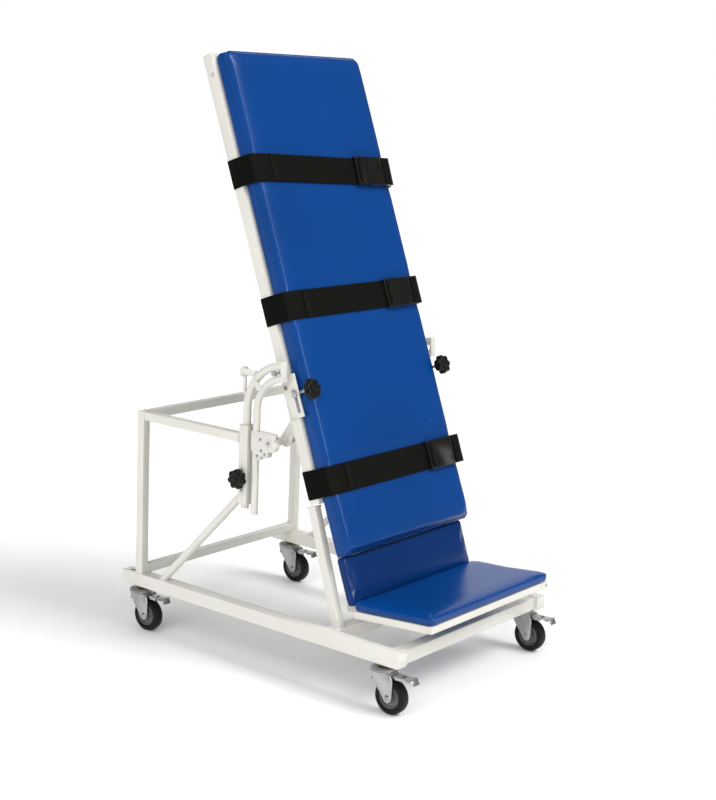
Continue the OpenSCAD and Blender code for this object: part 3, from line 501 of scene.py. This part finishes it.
for side in (-1, 1):
    head = turned("axle_head", axle_head_outline, 32)
    seat = axle_at @ Matrix.Translation((side * cheek_outer_x, 0, 0)) @ Matrix.Scale(side, 4, (1, 0, 0))
    axle_heads.append(put(head, seat))
    if side < 0:
        head.data.flip_normals()
axle_r, axle_half = 0.004, 0.0176
axle_outline = [(0, -axle_half), (axle_r, -axle_half), (axle_r, axle_half), (0, axle_half)]
axle = put(turned("axle", axle_outline, 24), axle_at)
fork = joined("fork", far_cheek, fork_crown, fork_back, race, *axle_heads, axle, fork_cheek)

# Wheels: a 75 mm wheel with a grey moulded rim, which has a hub and a raised ring on both sides, and a
# black rubber tyre round it.
rim_plastic = finish(
    "grey_rim_plastic", (0.075, 0.076, 0.076), (0.105, 0.106, 0.106),
    patch=0.02, rough=0.34, grain=0.0007, bump=0.00004, specular=0.6,
)
tyre_rubber = finish(
    "black_rubber", (0.0045, 0.0045, 0.0045), (0.0085, 0.0085, 0.0085),
    patch=0.015, rough=0.50, grain=0.0006, bump=0.00006, specular=0.22,
)
rim_half = [
    (0.0041, -0.0138), (0.0078, -0.0138), (0.0086, -0.0128), (0.0090, -0.0092), (0.0118, -0.0088),
    (0.0130, -0.0066), (0.0196, -0.0070), (0.0212, -0.0094), (0.0222, -0.0112), (0.0236, -0.0113),
    (0.0242, -0.0104), (0.0248, -0.0090),
]
rim = turned("rim", rim_half + [(r, -h) for r, h in reversed(rim_half)], 72)
tyre_half = [
    (0.0249, -0.0098), (0.0262, -0.0110), (0.0296, -0.0119), (0.0312, -0.0114), (0.0324, -0.0119),
    (0.0345, -0.0113), (0.0361, -0.0096), (0.0371, -0.0062),
]
tyre = turned("tyre", tyre_half + [(wheel_r, 0)] + [(r, -h) for r, h in reversed(tyre_half)], 72)

# Brake pedals: a pressed zinc plated lever on a pin through the fork, with folded sides, a slot and a
# bent toe tab. The slot is not cut but drawn as a thin black plate, painted shade for its opening. A block
# under it bears on the tyre.
pedal_z, pedal_thick, pedal_edge_r, pedal_pin_y = 0.0857, 0.002, 0.0006, -0.024
pedal_outline = [
    (-0.0195, 0.011), (-0.0195, -0.011), (-0.062, -0.011), (-0.0690, -0.0135), (-0.0730, -0.0168),
    (-0.0785, -0.0170), (-0.0800, -0.0150), (-0.0800, 0.0150), (-0.0785, 0.0170), (-0.0730, 0.0168),
    (-0.0690, 0.0135), (-0.062, 0.011),
]
pedal_top = plate("pedal_top", pedal_outline, pedal_thick, pedal_edge_r)
put(pedal_top, Matrix.Translation((0, 0, pedal_z)) @ Matrix.Rotation(math.radians(90), 4, "Y"))
# A thin black plate on the lever's top: painted shade that stands for the slot's opening.
pedal_slot_shade = box_piece("pedal_slot_shade", (0.0100, 0.0050, 0.001), (0, -0.0551, 0.0867), 0.0004)
pedal_sides = []
for x in (-0.0102, 0.0102):
    pedal_sides.append(box_piece("pedal_side", (0.0018, 0.036, 0.0075), (x, -0.0400, 0.0830), 0.0007))
toe_at = Matrix.Translation((0, -0.0792, 0.0862)) @ Matrix.Rotation(math.radians(-35), 4, "X")
pedal_tab = put(box_piece("pedal_tab", (0.022, 0.0018, 0.0120), (0, 0, -0.0058), 0.0006), toe_at)
pin_r, pin_half = 0.0025, 0.0185
pin_outline = [(0, -pin_half), (pin_r, -pin_half), (pin_r, pin_half), (0, pin_half)]
pedal_pin = put(turned("pedal_pin", pin_outline, 24), Matrix.Translation((0, pedal_pin_y, pedal_z)))
brake_block = box_piece("brake_block", (0.018, 0.008, 0.0080), (0, -0.037, 0.0811), 0.001)
# Painted shade: the near black of the pedal slot's opening.
slot_shade_paint = finish(
    "painted_slot_shade", (0.006, 0.006, 0.006), (0.010, 0.010, 0.010),
    patch=0.01, rough=0.6, grain=0.0006, bump=0.00003,
)
pedal = joined("brake_pedal", *pedal_sides, pedal_tab, pedal_pin, brake_block, pedal_top)

for corner, (x, y) in caster_places.items():
    here = Matrix.Translation((x, y, 0))
    dressed(again(fork, corner + "_fork_made", here), zinc, corner + "_caster", corner + "_fork")
    wheel = corner + "_wheel"
    dressed(again(rim, corner + "_rim_made", here @ axle_at), rim_plastic, wheel, corner + "_rim")
    dressed(again(tyre, corner + "_tyre_made", here @ axle_at), tyre_rubber, wheel, corner + "_tyre")
    dressed(again(pedal, corner + "_pedal_made", here), zinc, corner + "_pedal", corner + "_brake_pedal")
    dressed(again(pedal_slot_shade, corner + "_pedal_slot_shade", here), slot_shade_paint, corner + "_pedal")
for spare in (fork, rim, tyre, pedal, pedal_slot_shade):
    bpy.data.objects.remove(spare)

# Star knobs: black moulded plastic with seven lobes, a round cap and a hub, one on the clamp bolt of
# each post and one on the stud of each accessory bracket.
knob_plastic = finish(
    "black_knob_plastic", (0.0042, 0.0044, 0.0034), (0.0075, 0.0078, 0.0062),
    patch=0.02, rough=0.36, grain=0.0009, bump=0.00005, specular=0.20,
)
knob_r, knob_lobes, knob_ring, knob_underside = 0.021, 7, 112, 0.0075
valley_depth, valley_power = 0.20, 1.5
knob_profile = (
    (0.0012, 1.035), (0.0018, 1.02), (0.0085, 1.0), (0.0022, 0.975), (0.0016, 0.93), (0.0008, 0.86),
    (-0.0004, 0.72), (-0.0008, 0.70), (0.0012, 0.94), (0.0006, 0.82), (0.0001, 0.4),
)
hub_profile = ((0, 0.55), (-knob_underside, 0.78))


def raise_ring(profile):
    """Extrudes the selected ring of edges by each rise, scales it, and closes it with a face."""
    for rise, grow in profile:
        bpy.ops.mesh.extrude_edges_move(TRANSFORM_OT_translate={"value": (0, 0, rise)})
        bpy.ops.transform.resize(value=(grow, grow, 1), center_override=(0, 0, 0))
    bpy.ops.mesh.edge_face_add()


bpy.ops.object.select_all(action="DESELECT")
bpy.ops.mesh.primitive_circle_add(vertices=knob_ring, radius=knob_r, fill_type="NOTHING")
knob = bpy.context.object
knob.name = "star_knob"
for corner in knob.data.vertices:
    turn = math.atan2(corner.co.y, corner.co.x)
    valley = (0.5 - 0.5 * math.cos(knob_lobes * turn)) ** valley_power
    corner.co *= 1 - valley_depth * valley
    corner.co.z = knob_underside
bpy.ops.object.mode_set(mode="EDIT")
bpy.ops.mesh.select_all(action="SELECT")
raise_ring(knob_profile)
bpy.ops.mesh.select_all(action="DESELECT")
bpy.ops.object.mode_set(mode="OBJECT")
for edge in knob.data.edges:
    edge.select = all(abs(knob.data.vertices[i].co.z - knob_underside) < 0.00005 for i in edge.vertices)
bpy.ops.object.mode_set(mode="EDIT")
raise_ring(hub_profile)
bpy.ops.mesh.select_all(action="SELECT")
bpy.ops.mesh.normals_make_consistent(inside=False)
bpy.ops.object.mode_set(mode="OBJECT")
bpy.ops.object.shade_smooth_by_angle(angle=math.radians(50))

clamp_x, clamp_y, clamp_z = 0.2784, 0.05769, 0.423
stud_place = (0.2346, 0.042, 0.0505)
clamp_bolt_outline = [(0, -0.0365), (0.0036, -0.0365), (0.004, -0.0360), (0.004, 0.002), (0, 0.002)]
for side, x in (("left", -1), ("right", 1)):
    clamp_at = Matrix.Translation((x * clamp_x, clamp_y, clamp_z))
    outward = clamp_at @ Matrix.Rotation(math.radians(90 * x), 4, "Y")
    post_knob = again(knob, side + "_post_knob_made", outward)
    dressed(post_knob, knob_plastic, side + "_clamp_knob", side + "_post_knob")
    bolt = turned(side + "_clamp_bolt", clamp_bolt_outline, 32)
    put(bolt, clamp_at @ Matrix.Rotation(0 if x > 0 else math.pi, 4, "Z"))
    dressed(bolt, zinc, side + "_clamp_knob")
    seat = table_place @ Matrix.Translation((x * stud_place[0], stud_place[1], stud_place[2]))
    bracket_knob = again(knob, side + "_bracket_knob_made", seat)
    dressed(bracket_knob, knob_plastic, side + "_knob", side + "_bracket_knob")
bpy.data.objects.remove(knob)


# Main cushion: foam on a board under smooth blue vinyl, sewn from a front panel and one long side wall,
# with a black lining behind. The cloth solver blows its CAD form up a little, laid flat, and then the
# straps press it in and the seam is drawn round its front.
def vinyl_finish(name, dark, light):
    """Coated cloth: a drifting tone with fine pores."""
    made = finish(name, dark, light, patch=0.35, rough=0.27, grain=0.0016, bump=0.00010, specular=0.26)
    nodes, links = made.node_tree.nodes, made.node_tree.links
    relief = [n for n in nodes if n.type == "BUMP"][0]
    place = [n for n in nodes if n.type == "TEX_COORD"][0]
    pores = nodes.new("ShaderNodeTexVoronoi")
    pores.inputs["Scale"].default_value = 900
    links.new(place.outputs["Object"], pores.inputs["Vector"])
    links.new(pores.outputs["Distance"], relief.inputs["Height"])
    relief.inputs["Distance"].default_value = 0.00008
    relief.inputs["Strength"].default_value = 0.35
    return made


def stuffed(name, pieces, voxel, cap, pressure, held_below):
    """One cushion skin from CAD pieces laid flat: what lies below a height is held."""
    piece = joined(name, *pieces)
    pick(piece)
    remesh = piece.modifiers.new("net", "REMESH")
    remesh.mode = "VOXEL"
    remesh.voxel_size = voxel
    remesh.use_smooth_shade = True
    bpy.ops.object.modifier_apply(modifier=remesh.name)
    even = piece.modifiers.new("even", "SMOOTH")
    even.factor = 0.5
    even.iterations = 2
    bpy.ops.object.modifier_apply(modifier=even.name)
    held = piece.vertex_groups.new(name="held")
    held.add([v.index for v in piece.data.vertices if v.co.z < held_below], 1.0, "REPLACE")
    start = [v.co.copy() for v in piece.data.vertices]
    cloth = piece.modifiers.new("blown", "CLOTH")
    cloth.settings.quality = 4
    cloth.settings.mass = 0.35
    cloth.settings.tension_stiffness = 25
    cloth.settings.compression_stiffness = 25
    cloth.settings.bending_stiffness = 1.5
    cloth.settings.use_pressure = True
    cloth.settings.uniform_pressure_force = pressure
    cloth.settings.effector_weights.gravity = 0
    cloth.settings.vertex_group_mass = "held"
    cloth.collision_settings.use_collision = False
    for step in range(1, 21):
        bpy.context.scene.frame_set(step)
    bpy.ops.object.modifier_apply(modifier=cloth.name)
    for v, at in zip(piece.data.vertices, start):
        move = v.co - at
        if move.length > cap:
            v.co = at + move * (cap / move.length)
    bpy.context.scene.frame_set(1)
    rounder = piece.modifiers.new("finer", "SUBSURF")
    rounder.levels = rounder.render_levels = 1
    bpy.ops.object.modifier_apply(modifier=rounder.name)
    bpy.ops.object.shade_smooth()
    return piece


vinyl = vinyl_finish("royal_blue_vinyl", (0.0000, 0.0395, 0.188), (0.0002, 0.0470, 0.222))
lining = finish(
    "black_lining_cloth", (0.010, 0.010, 0.010), (0.018, 0.018, 0.018),
    patch=0.02, rough=0.85, grain=0.0008, bump=0.00012, specular=0.15,
)
pad_half, pad_middle, pad_reach = 0.230, 0.238, 0.556
pad_low_end = pad_middle - pad_reach
pad_edge, pad_crown, crown_run = 0.0435, 0.008, 0.046
pad_top = pad_edge + pad_crown
top_corner_r, low_corner_r = 0.022, 0.010
strap_w = 0.062
strap_places = (("upper", 0.518, 2.7), ("middle", 0.225, 0.0), ("lower", -0.155, 0.0))


def crown_rise(inward):
    """The crown's height above the edge, this far in from the rim."""
    return pad_crown * (1 - (1 - min(1, max(0, inward) / crown_run)) ** 3)


def rim_distance(x, y):
    """How far in from the rim of the main cushion a point is, round its corners too."""
    r = top_corner_r if y > pad_middle else low_corner_r
    u, w = abs(x) - (pad_half - r), abs(y - pad_middle) - (pad_reach - r)
    return r - math.hypot(u, w) if u > 0 and w > 0 else r - max(u, w)


def crown_distance(x, y, blend=0.045):
    """As far in as rim_distance, but eased round the mitre of each corner."""
    u, w = abs(x) - pad_half, abs(y - pad_middle) - pad_reach
    near = max(0, blend - abs(u - w)) / blend
    return min(rim_distance(x, y), -max(u, w) - near * near * blend * 0.25)


def crown_at(x, y):
    """The crown's height at a point: it rises faster in from the lower end than from the sides."""
    low_run, low_ease, side_fade, faster = 0.080, 0.060, 8, 1.6
    low_end = max(0, min(1, (pad_low_end + low_run - y) / low_ease))
    low_end *= 1 - min(1, abs(x) / pad_half) ** side_fade
    return crown_rise(crown_distance(x, y) * (1 + faster * low_end))


def free_of_straps(x, y):
    """0 where a strap presses the main cushion in, 1 well away from it, eased between."""
    strap_margin, strap_ease = 0.003, 0.026
    free = 1.0
    for _, s, skew in strap_places:
        away = abs(y - (s - x * math.tan(math.radians(skew)))) - strap_w / 2
        free = min(free, max(0.0, min(1.0, (away - strap_margin) / strap_ease)))
    return free * free * (3 - 2 * free)


def pad_outline(steps=10, apart=0.012):
    """Points round the main cushion, with the direction outwards at each."""
    points = []
    for cx, cy, turn in ((1, 1, 0), (-1, 1, 90), (-1, -1, 180), (1, -1, 270)):
        r = top_corner_r if cy > 0 else low_corner_r
        for i in range(steps + 1):
            a = math.radians(turn + 90 * i / steps)
            out = Vector((math.cos(a), math.sin(a), 0))
            centre = Vector((cx * (pad_half - r), pad_middle + cy * (pad_reach - r), 0))
            points.append((centre + out * r, out))
    finer = []
    for (p, u), (q, w) in zip(points, points[1:] + points[:1]):
        parts = max(1, round((q - p).length / apart))
        finer += [(p.lerp(q, i / parts), u.lerp(w, i / parts).normalized()) for i in range(parts)]
    return finer


# The form that the solver starts from is made a little fuller at the board.
board_spread, board_lengthen, board_face, board_lift, foam_low = 0.0018, 0.0010, 0.017, 0.003, 0.026
board = put(copy_node("pad_board"), table_place.inverted())
for v in board.data.vertices:
    v.co.x += math.copysign(board_spread, v.co.x)
    v.co.y += math.copysign(board_lengthen, v.co.y - pad_middle)
    if v.co.z > board_face:
        v.co.z += board_lift
foam = put(copy_node("main_pad"), table_place.inverted())
for v in foam.data.vertices:
    if v.co.z < foam_low:
        v.co.x += math.copysign(board_spread, v.co.x)
        v.co.y += math.copysign(board_spread, v.co.y - pad_middle)
main_pad = stuffed("main_pad_made", (board, foam), voxel=0.007, cap=0.003, pressure=3.0, held_below=0.024)

pad_front, seam_strip = 0.036, 0.014
pick(main_pad)
for face in main_pad.data.polygons:
    face.select = face.center.z > pad_front and rim_distance(face.center.x, face.center.y) < seam_strip
bpy.ops.object.mode_set(mode="EDIT")
bpy.ops.mesh.subdivide(number_cuts=2, smoothness=0)
bpy.ops.object.mode_set(mode="OBJECT")

skin_gap, side_bulge, front_bulge, drawn_bulge = 0.0003, 0.0022, 0.0026, 0.0015
rim_from, drawn_from, drawn_run, drawn_share = 0.002, 0.005, 0.008, 0.8
seam_in, seam_depth, seam_half = 0.0062, 0.0024, 0.0013
for v in main_pad.data.vertices:
    bulge = free_of_straps(v.co.x, v.co.y)
    reach_x = pad_half + side_bulge * bulge - skin_gap
    if abs(v.co.x) > reach_x:
        v.co.x = math.copysign(reach_x, v.co.x)
    inward = rim_distance(v.co.x, v.co.y)
    if inward > rim_from:
        crown = crown_at(v.co.x, v.co.y)
        v.co.z = min(v.co.z, pad_edge + crown + front_bulge * bulge - skin_gap)
        if v.co.z > pad_front and inward > drawn_from:
            short = pad_edge + crown + drawn_bulge * bulge - skin_gap - v.co.z
            v.co.z += drawn_share * short * min(1, (inward - drawn_from) / drawn_run)
    if v.co.z > pad_front:
        v.co.z -= seam_depth * math.exp(-((inward - seam_in) / seam_half) ** 2)

low_face_half, low_face_from, low_face_y, low_face_back = 0.222, -0.3130, -0.3181, 0.003
for v in main_pad.data.vertices:
    if abs(v.co.x) < low_face_half and v.co.y < low_face_from and low_face_back < v.co.z < pad_front:
        v.co.y = low_face_y

lip_out, lip_sunk, lip_thick, lip_step = 0.0017, 0.0001, 0.0015, 0.02
above, down = Vector((0, 0, 0.08)), Vector((0, 0, -1))
lip_path = []
for at, out in pad_outline():
    start = at - out * (seam_in - lip_out) + above
    hit, where, _, _ = main_pad.ray_cast(start, down, distance=0.06)
    if hit:
        lip_path.append(where + down * lip_sunk)
main_pad_lip = put(bead("main_pad_lip", lip_path, lip_thick, lip_step), table_place)
dressed(main_pad_lip, vinyl, "table")
put(main_pad, table_place)
dressed(main_pad, vinyl, "table", "main_pad", "pad_board")
main_pad.data.materials.append(lining)
lining_half, lining_reach, lining_front = 0.212, 0.538, 0.0135
flat_back = table_place.inverted()
for face in main_pad.data.polygons:
    at = flat_back @ face.center
    if at.z < lining_front and abs(at.x) < lining_half and abs(at.y - pad_middle) < lining_reach:
        face.material_index = 1

# Lower cushion: foam under the main cushion's blue vinyl, darkened as painted shade for the main cushion's
# overhang, made as the main one is. It is set back under the edge of the main cushion and runs down behind
# the footplate.
low_corner_x, low_top_y, low_foot_y = 0.208, -0.3282, -0.409
low_tail_from, low_tail_run, low_tail_drop, low_tail_back, low_thick = -0.385, 0.034, 0.0085, 0.0022, 0.0265
foam = put(copy_node("lower_pad"), table_place.inverted())
for v in foam.data.vertices:
    for corner_y, way, squareness in ((low_top_y, 1, 0.985), (low_foot_y, -1, 0.93)):
        u, w = abs(v.co.x) - low_corner_x, way * (v.co.y - corner_y)
        if u > 0 and w > 0:
            grow = math.hypot(u, w) / max(u, w) * squareness
            v.co.x = math.copysign(low_corner_x + u * grow, v.co.x)
            v.co.y = corner_y + way * w * grow
    if v.co.y < low_tail_from:
        tail = min(1, (low_tail_from - v.co.y) / low_tail_run)
        v.co.y -= low_tail_drop * tail
        v.co.z -= low_tail_back * tail * max(0, v.co.z / low_thick)
lower_pad = stuffed("lower_pad_made", (foam,), voxel=0.0045, cap=0.0015, pressure=2.0, held_below=0.006)
low_pad_top_y = -0.3186
for v in lower_pad.data.vertices:
    v.co.y = min(v.co.y, low_pad_top_y)
put(lower_pad, table_place)
# Painted shade: this vinyl is the main blue made darker, standing for the shadow that the main cushion casts
# on the lower one.
shade_darkened_vinyl = vinyl_finish("painted_shade_blue_vinyl", (0.0000, 0.0230, 0.118), (0.0002, 0.0275, 0.140))
dressed(lower_pad, shade_darkened_vinyl, "table", "lower_pad")

# Foot cushion: a thin foam pad under the same vinyl as the main one, fixed flat on the footplate frame,
# its top panel's edge rolled over.
foot_lean = 16.2
foot_frame_place = table_place @ Matrix.Translation((0, -0.419, 0.0265)) \
    @ Matrix.Rotation(math.radians(foot_lean), 4, "X")
foot_place = foot_frame_place @ Matrix.Translation((0, -0.017, 0.1003)) \
    @ Matrix.Rotation(math.radians(-90), 4, "X")
foot_side, foot_front, foot_back, foot_lip = 0.0042, 0.0040, 0.0032, 0.0014
foot_wall, foot_lift, foot_settle, foot_face, foot_face_run = 0.006, 0.0056, 0.0016, 0.012, 0.004
foam = put(copy_node("foot_pad"), foot_place.inverted())
for v in foam.data.vertices:
    v.co.x += math.copysign(foot_side, v.co.x)
    v.co.y += -foot_front if v.co.y < 0 else foot_back
    if v.co.z > foot_wall:
        v.co.x += math.copysign(foot_lip, v.co.x)
        v.co.y -= foot_lip if v.co.y < 0 else 0
        v.co.z += foot_lift - foot_settle * min(1, max(0, v.co.z - foot_face) / foot_face_run)
foot_pad = stuffed("foot_pad_made", (foam,), voxel=0.0042, cap=0.0015, pressure=2.5, held_below=0.004)
put(foot_pad, foot_place)
dressed(foot_pad, vinyl, "table", "foot_pad")


# Straps: 62 mm black polyester webbing in a ribbed weave, a closed band round the table. A second
# length is stitched on at the left, lies on the band and runs up into the buckle's ladder.
def webbing_finish():
    """Ribs along the webbing's length and rows across it, from the piece's own UV map."""
    made = bpy.data.materials.new("black_webbing")
    made.use_nodes = True
    nodes, links = made.node_tree.nodes, made.node_tree.links
    shader = nodes["Principled BSDF"]
    uv = nodes.new("ShaderNodeUVMap")
    uv.uv_map = "weave"
    ribs = nodes.new("ShaderNodeTexWave")
    ribs.bands_direction = "X"
    ribs.inputs["Scale"].default_value = 110
    ribs.inputs["Distortion"].default_value = 0.6
    ribs.inputs["Detail"].default_value = 1
    links.new(uv.outputs["UV"], ribs.inputs["Vector"])
    rows = nodes.new("ShaderNodeTexWave")
    rows.bands_direction = "Y"
    rows.inputs["Scale"].default_value = 220
    rows.inputs["Distortion"].default_value = 0.4
    links.new(uv.outputs["UV"], rows.inputs["Vector"])
    weave = nodes.new("ShaderNodeMath")
    weave.operation = "MULTIPLY"
    links.new(ribs.outputs["Fac"], weave.inputs[0])
    links.new(rows.outputs["Fac"], weave.inputs[1])
    tone = nodes.new("ShaderNodeValToRGB")
    tone.color_ramp.elements[0].color = (0.0020, 0.0020, 0.0015, 1)
    tone.color_ramp.elements[1].color = (0.0080, 0.0083, 0.0058, 1)
    links.new(weave.outputs["Value"], tone.inputs["Fac"])
    links.new(tone.outputs["Color"], shader.inputs["Base Color"])
    relief = nodes.new("ShaderNodeBump")
    relief.inputs["Strength"].default_value = 0.8
    relief.inputs["Distance"].default_value = 0.00025
    links.new(weave.outputs["Value"], relief.inputs["Height"])
    links.new(relief.outputs["Normal"], shader.inputs["Normal"])
    shader.inputs["Roughness"].default_value = 0.68
    shader.inputs["Specular IOR Level"].default_value = 0.08
    return made


def eased(points, radius=0.003, steps=4, straight=18):
    """A row of (x, height) points with its sharp corners rounded, where they turn more than straight."""
    path = [points[0]]
    for a, b, c in zip(points, points[1:], points[2:]):
        a, b, c = Vector(a), Vector(b), Vector(c)
        into, away = (b - a), (c - b)
        if into.angle(away) < math.radians(straight):
            path.append(tuple(b))
            continue
        p = b - into.normalized() * min(radius, into.length * 0.45)
        q = b + away.normalized() * min(radius, away.length * 0.45)
        path += [tuple(p.lerp(b, i / steps).lerp(b.lerp(q, i / steps), i / steps)) for i in range(steps + 1)]
    return path + [points[-1]]


def ribbon(name, path, place, width, thick, closed=False, rows=8, share_at=None):
    """Webbing along a path of (x, height) points, laid across the place given."""
    lengths = [0.0]
    for a, b in zip(path, path[1:]):
        lengths.append(lengths[-1] + math.dist(a, b))
    bpy.ops.object.select_all(action="DESELECT")
    bpy.ops.mesh.primitive_grid_add(x_subdivisions=len(path) - 1, y_subdivisions=rows, size=1)
    piece = bpy.context.object
    piece.name = name
    mesh = piece.data
    layer = mesh.uv_layers.active or mesh.uv_layers.new(name="weave")
    layer.name = "weave"
    columns = [(round((v.co.x + 0.5) * (len(path) - 1)), v.co.y) for v in mesh.vertices]
    for loop in mesh.loops:
        i, across = columns[loop.vertex_index]
        layer.data[loop.index].uv = (lengths[i], across * width)
    for v in mesh.vertices:
        i, across = columns[v.index]
        share = share_at(path[i][0]) if share_at else 1
        v.co = (path[i][0], across * width * share, path[i][1])
    pick(piece)
    if closed:
        bpy.ops.object.mode_set(mode="EDIT")
        bpy.ops.mesh.select_all(action="SELECT")
        bpy.ops.mesh.remove_doubles(threshold=0.00001)
        bpy.ops.object.mode_set(mode="OBJECT")
    body = piece.modifiers.new("thickness", "SOLIDIFY")
    body.thickness = thick
    body.offset = 0
    body.use_even_offset = True
    bpy.ops.object.modifier_apply(modifier=body.name)
    edge = piece.modifiers.new("edge", "BEVEL")
    edge.width = thick * 0.3
    edge.segments = 2
    edge.limit_method = "ANGLE"
    edge.angle_limit = math.radians(60)
    bpy.ops.object.modifier_apply(modifier=edge.name)
    bpy.ops.object.shade_smooth_by_angle(angle=math.radians(50))
    return put(piece, place)


def stitches(name, spots, place, size=(0.0032, 0.0009, 0.0007)):
    """Short raised stitches of thread, each along X."""
    bpy.ops.object.select_all(action="DESELECT")
    bpy.ops.mesh.primitive_uv_sphere_add(segments=8, ring_count=6, radius=0.5)
    one = bpy.context.object
    one.name = "stitch"
    bpy.ops.object.shade_smooth()
    row = []
    for at in spots:
        row.append(again(one, "stitch", Matrix.Translation(at) @ Matrix.Diagonal((*size, 1))))
    bpy.data.objects.remove(one)
    return put(joined(name, *row), place)


webbing = webbing_finish()
thread = finish(
    "black_thread", (0.012, 0.012, 0.010), (0.022, 0.022, 0.018),
    patch=0.004, rough=0.6, grain=0.0004, bump=0.00004, specular=0.2,
)
buckle_in = {"upper": 0.011, "middle": 0.013, "lower": 0.002}
socket_long, plug_long = 0.08784, 0.03416
rail_outer_x, rail_half_depth, band_lie, band_thick = 0.238, 0.0125, 0.0013, 0.0018
second_lie, second_from, second_step, second_thick = 0.0019, -0.180, 0.012, 0.0016
full_share, drawn_in, drawn_in_from, drawn_in_run = 0.985, 0.10, 0.020, 0.022
ladder_path = (
    (-0.020, 0.0549), (-0.004, 0.0552), (0.0050, 0.0560), (0.0066, 0.0640), (0.0076, 0.0659),
    (0.0142, 0.0659), (0.0152, 0.0640), (0.0160, 0.0570),
)
stitch_x, stitch_y, stitch_z = -0.1765, -0.0270, 0.0556
stitch_row, stitch_pitch, stitch_count = 0.0070, 0.0030, 38


def second_share(bar):
    """How wide the second layer is along X: it is drawn in where it nears the buckle's bar."""
    def share(x):
        return full_share - drawn_in * min(1, max(0, x - bar + drawn_in_from) / drawn_in_run)
    return share


crown_steps = [crown_run * (i / 9) ** 2 for i in range(10)]
under, outer, over_top = rail_half_depth + band_lie, rail_outer_x + band_lie, pad_half + band_lie
half = [(0, -under), (outer, -under), (outer, rail_half_depth)]
half += [(over_top - d, pad_edge + band_lie + crown_rise(d)) for d in crown_steps]
flat_step, flat_count = 0.0115, 16
half += [(over_top - crown_run - i * flat_step, pad_top + band_lie) for i in range(1, flat_count + 1)]
band_path = eased(half + [(-x, t) for x, t in reversed(half[1:])] + [half[0]])
seam_spots = []
for i in range(stitch_count):
    seam_spots.append((stitch_x + (i % 2) * stitch_row, stitch_y + stitch_pitch * (i // 2), stitch_z))
for which, s, skew in strap_places:
    slant = Matrix.Identity(4)
    slant[1][0] = -math.tan(math.radians(skew))
    strap_place = table_place @ Matrix.Translation((0, s, 0)) @ slant
    band = ribbon(which + "_strap_made", band_path, strap_place, strap_w, band_thick, closed=True)
    dressed(band, webbing, "table", which + "_strap_band")

    bar = pad_half - buckle_in[which] - plug_long - socket_long
    second = []
    for x in (second_from + i * second_step for i in range(40)):
        if x < bar - 0.024:
            second.append((x, pad_top + band_lie + second_lie))
    second += [(bar + x, t) for x, t in ladder_path]
    second_layer = ribbon(
        which + "_strap_second_layer", eased(second, 0.0015, 3), strap_place, strap_w, second_thick,
        share_at=second_share(bar),
    )
    dressed(second_layer, webbing, "table")
    dressed(stitches(which + "_strap_stitches", seam_spots, strap_place), thread, "table")

# Buckles: side release buckles of black acetal. The socket stays on the table and the plug pulls out,
# with the strap's end wrapped round the plug's middle.
buckle_plastic = finish(
    "black_acetal", (0.0040, 0.0042, 0.0034), (0.0070, 0.0073, 0.0060),
    patch=0.03, rough=0.30, grain=0.0009, bump=0.00003, specular=0.30,
)
dressed(rounded(copy_node("buckle_sockets"), 0.0012), buckle_plastic, "table", "buckle_sockets")
wrap_w, wrap_thick = 0.0555, 0.0016
wrap_path = [
    (0.0058, 0.0565), (0.0060, 0.0640), (0.0068, 0.0658), (0.0090, 0.0664), (0.0130, 0.0668),
    (0.0171, 0.0669), (0.0212, 0.0668), (0.0252, 0.0664), (0.0274, 0.0658), (0.0282, 0.0640),
    (0.0284, 0.0565),
]
for which, s, skew in strap_places:
    node = which + "_buckle_plug"
    dressed(rounded(copy_node(node), 0.0010), buckle_plastic, body_of(node), node)
    mouth_x = pad_half - buckle_in[which] - plug_long
    buckle_place = table_place @ Matrix.Translation((0, s, 0)) \
        @ Matrix.Rotation(math.radians(-skew), 4, "Z") @ Matrix.Translation((mouth_x, 0, 0))
    wrap = ribbon(which + "_strap_wrap", wrap_path, buckle_place, wrap_w, wrap_thick)
    dressed(wrap, webbing, body_of(node))

# Small fittings: grey plastic plugs in the side rails near their tops, white plates welded over the
# ends of the footplate's tubes, and a zinc plated screw in its front.
grey_cap = finish(
    "pale_grey_plastic", (0.36, 0.35, 0.33), (0.46, 0.45, 0.43),
    patch=0.01, rough=0.4, grain=0.0006, bump=0.00003,
)
plug_outline = [(0, 0), (0.0046, 0), (0.0046, 0.0006), (0.0040, 0.0012), (0.0020, 0.0015), (0, 0.0016)]
screw_outline = [
    (0, 0.0004), (0.0010, 0.0004), (0.0014, 0.0010), (0.0024, 0.0010), (0.0029, 0.0005), (0.0029, 0), (0, 0),
]
rail_plug_s, rail_plug_t = 0.748, 0.004
foot_end_size, foot_end_r = (0.0016, 0.0149, 0.0149), 0.0006
foot_end_x, foot_end_y, foot_end_zs = 0.2216, -0.0245, (0.0078, 0.1965)
foot_screw_at = (0.2125, foot_end_y, 0.2040)
for side, x in (("left", -1), ("right", 1)):
    plug_cap = turned(side + "_rail_plug", plug_outline, 32)
    plug_at = table_place @ Matrix.Translation((x * rail_outer_x, rail_plug_s, rail_plug_t))
    put(plug_cap, plug_at @ Matrix.Rotation(0 if x > 0 else math.pi, 4, "Y"))
    dressed(plug_cap, grey_cap, "table")
    ends = []
    for z in foot_end_zs:
        ends.append(box_piece("foot_tube_end", foot_end_size, (x * foot_end_x, foot_end_y, z), foot_end_r))
    dressed(put(joined(side + "_foot_tube_ends", *ends), foot_frame_place), white_coat, "table")
foot_screw = turned("foot_frame_screw", screw_outline, 32)
foot_screw_place = foot_frame_place @ Matrix.Translation(foot_screw_at)
put(foot_screw, foot_screw_place @ Matrix.Rotation(math.radians(-90), 4, "Y"))
dressed(foot_screw, dark_zinc, "table")
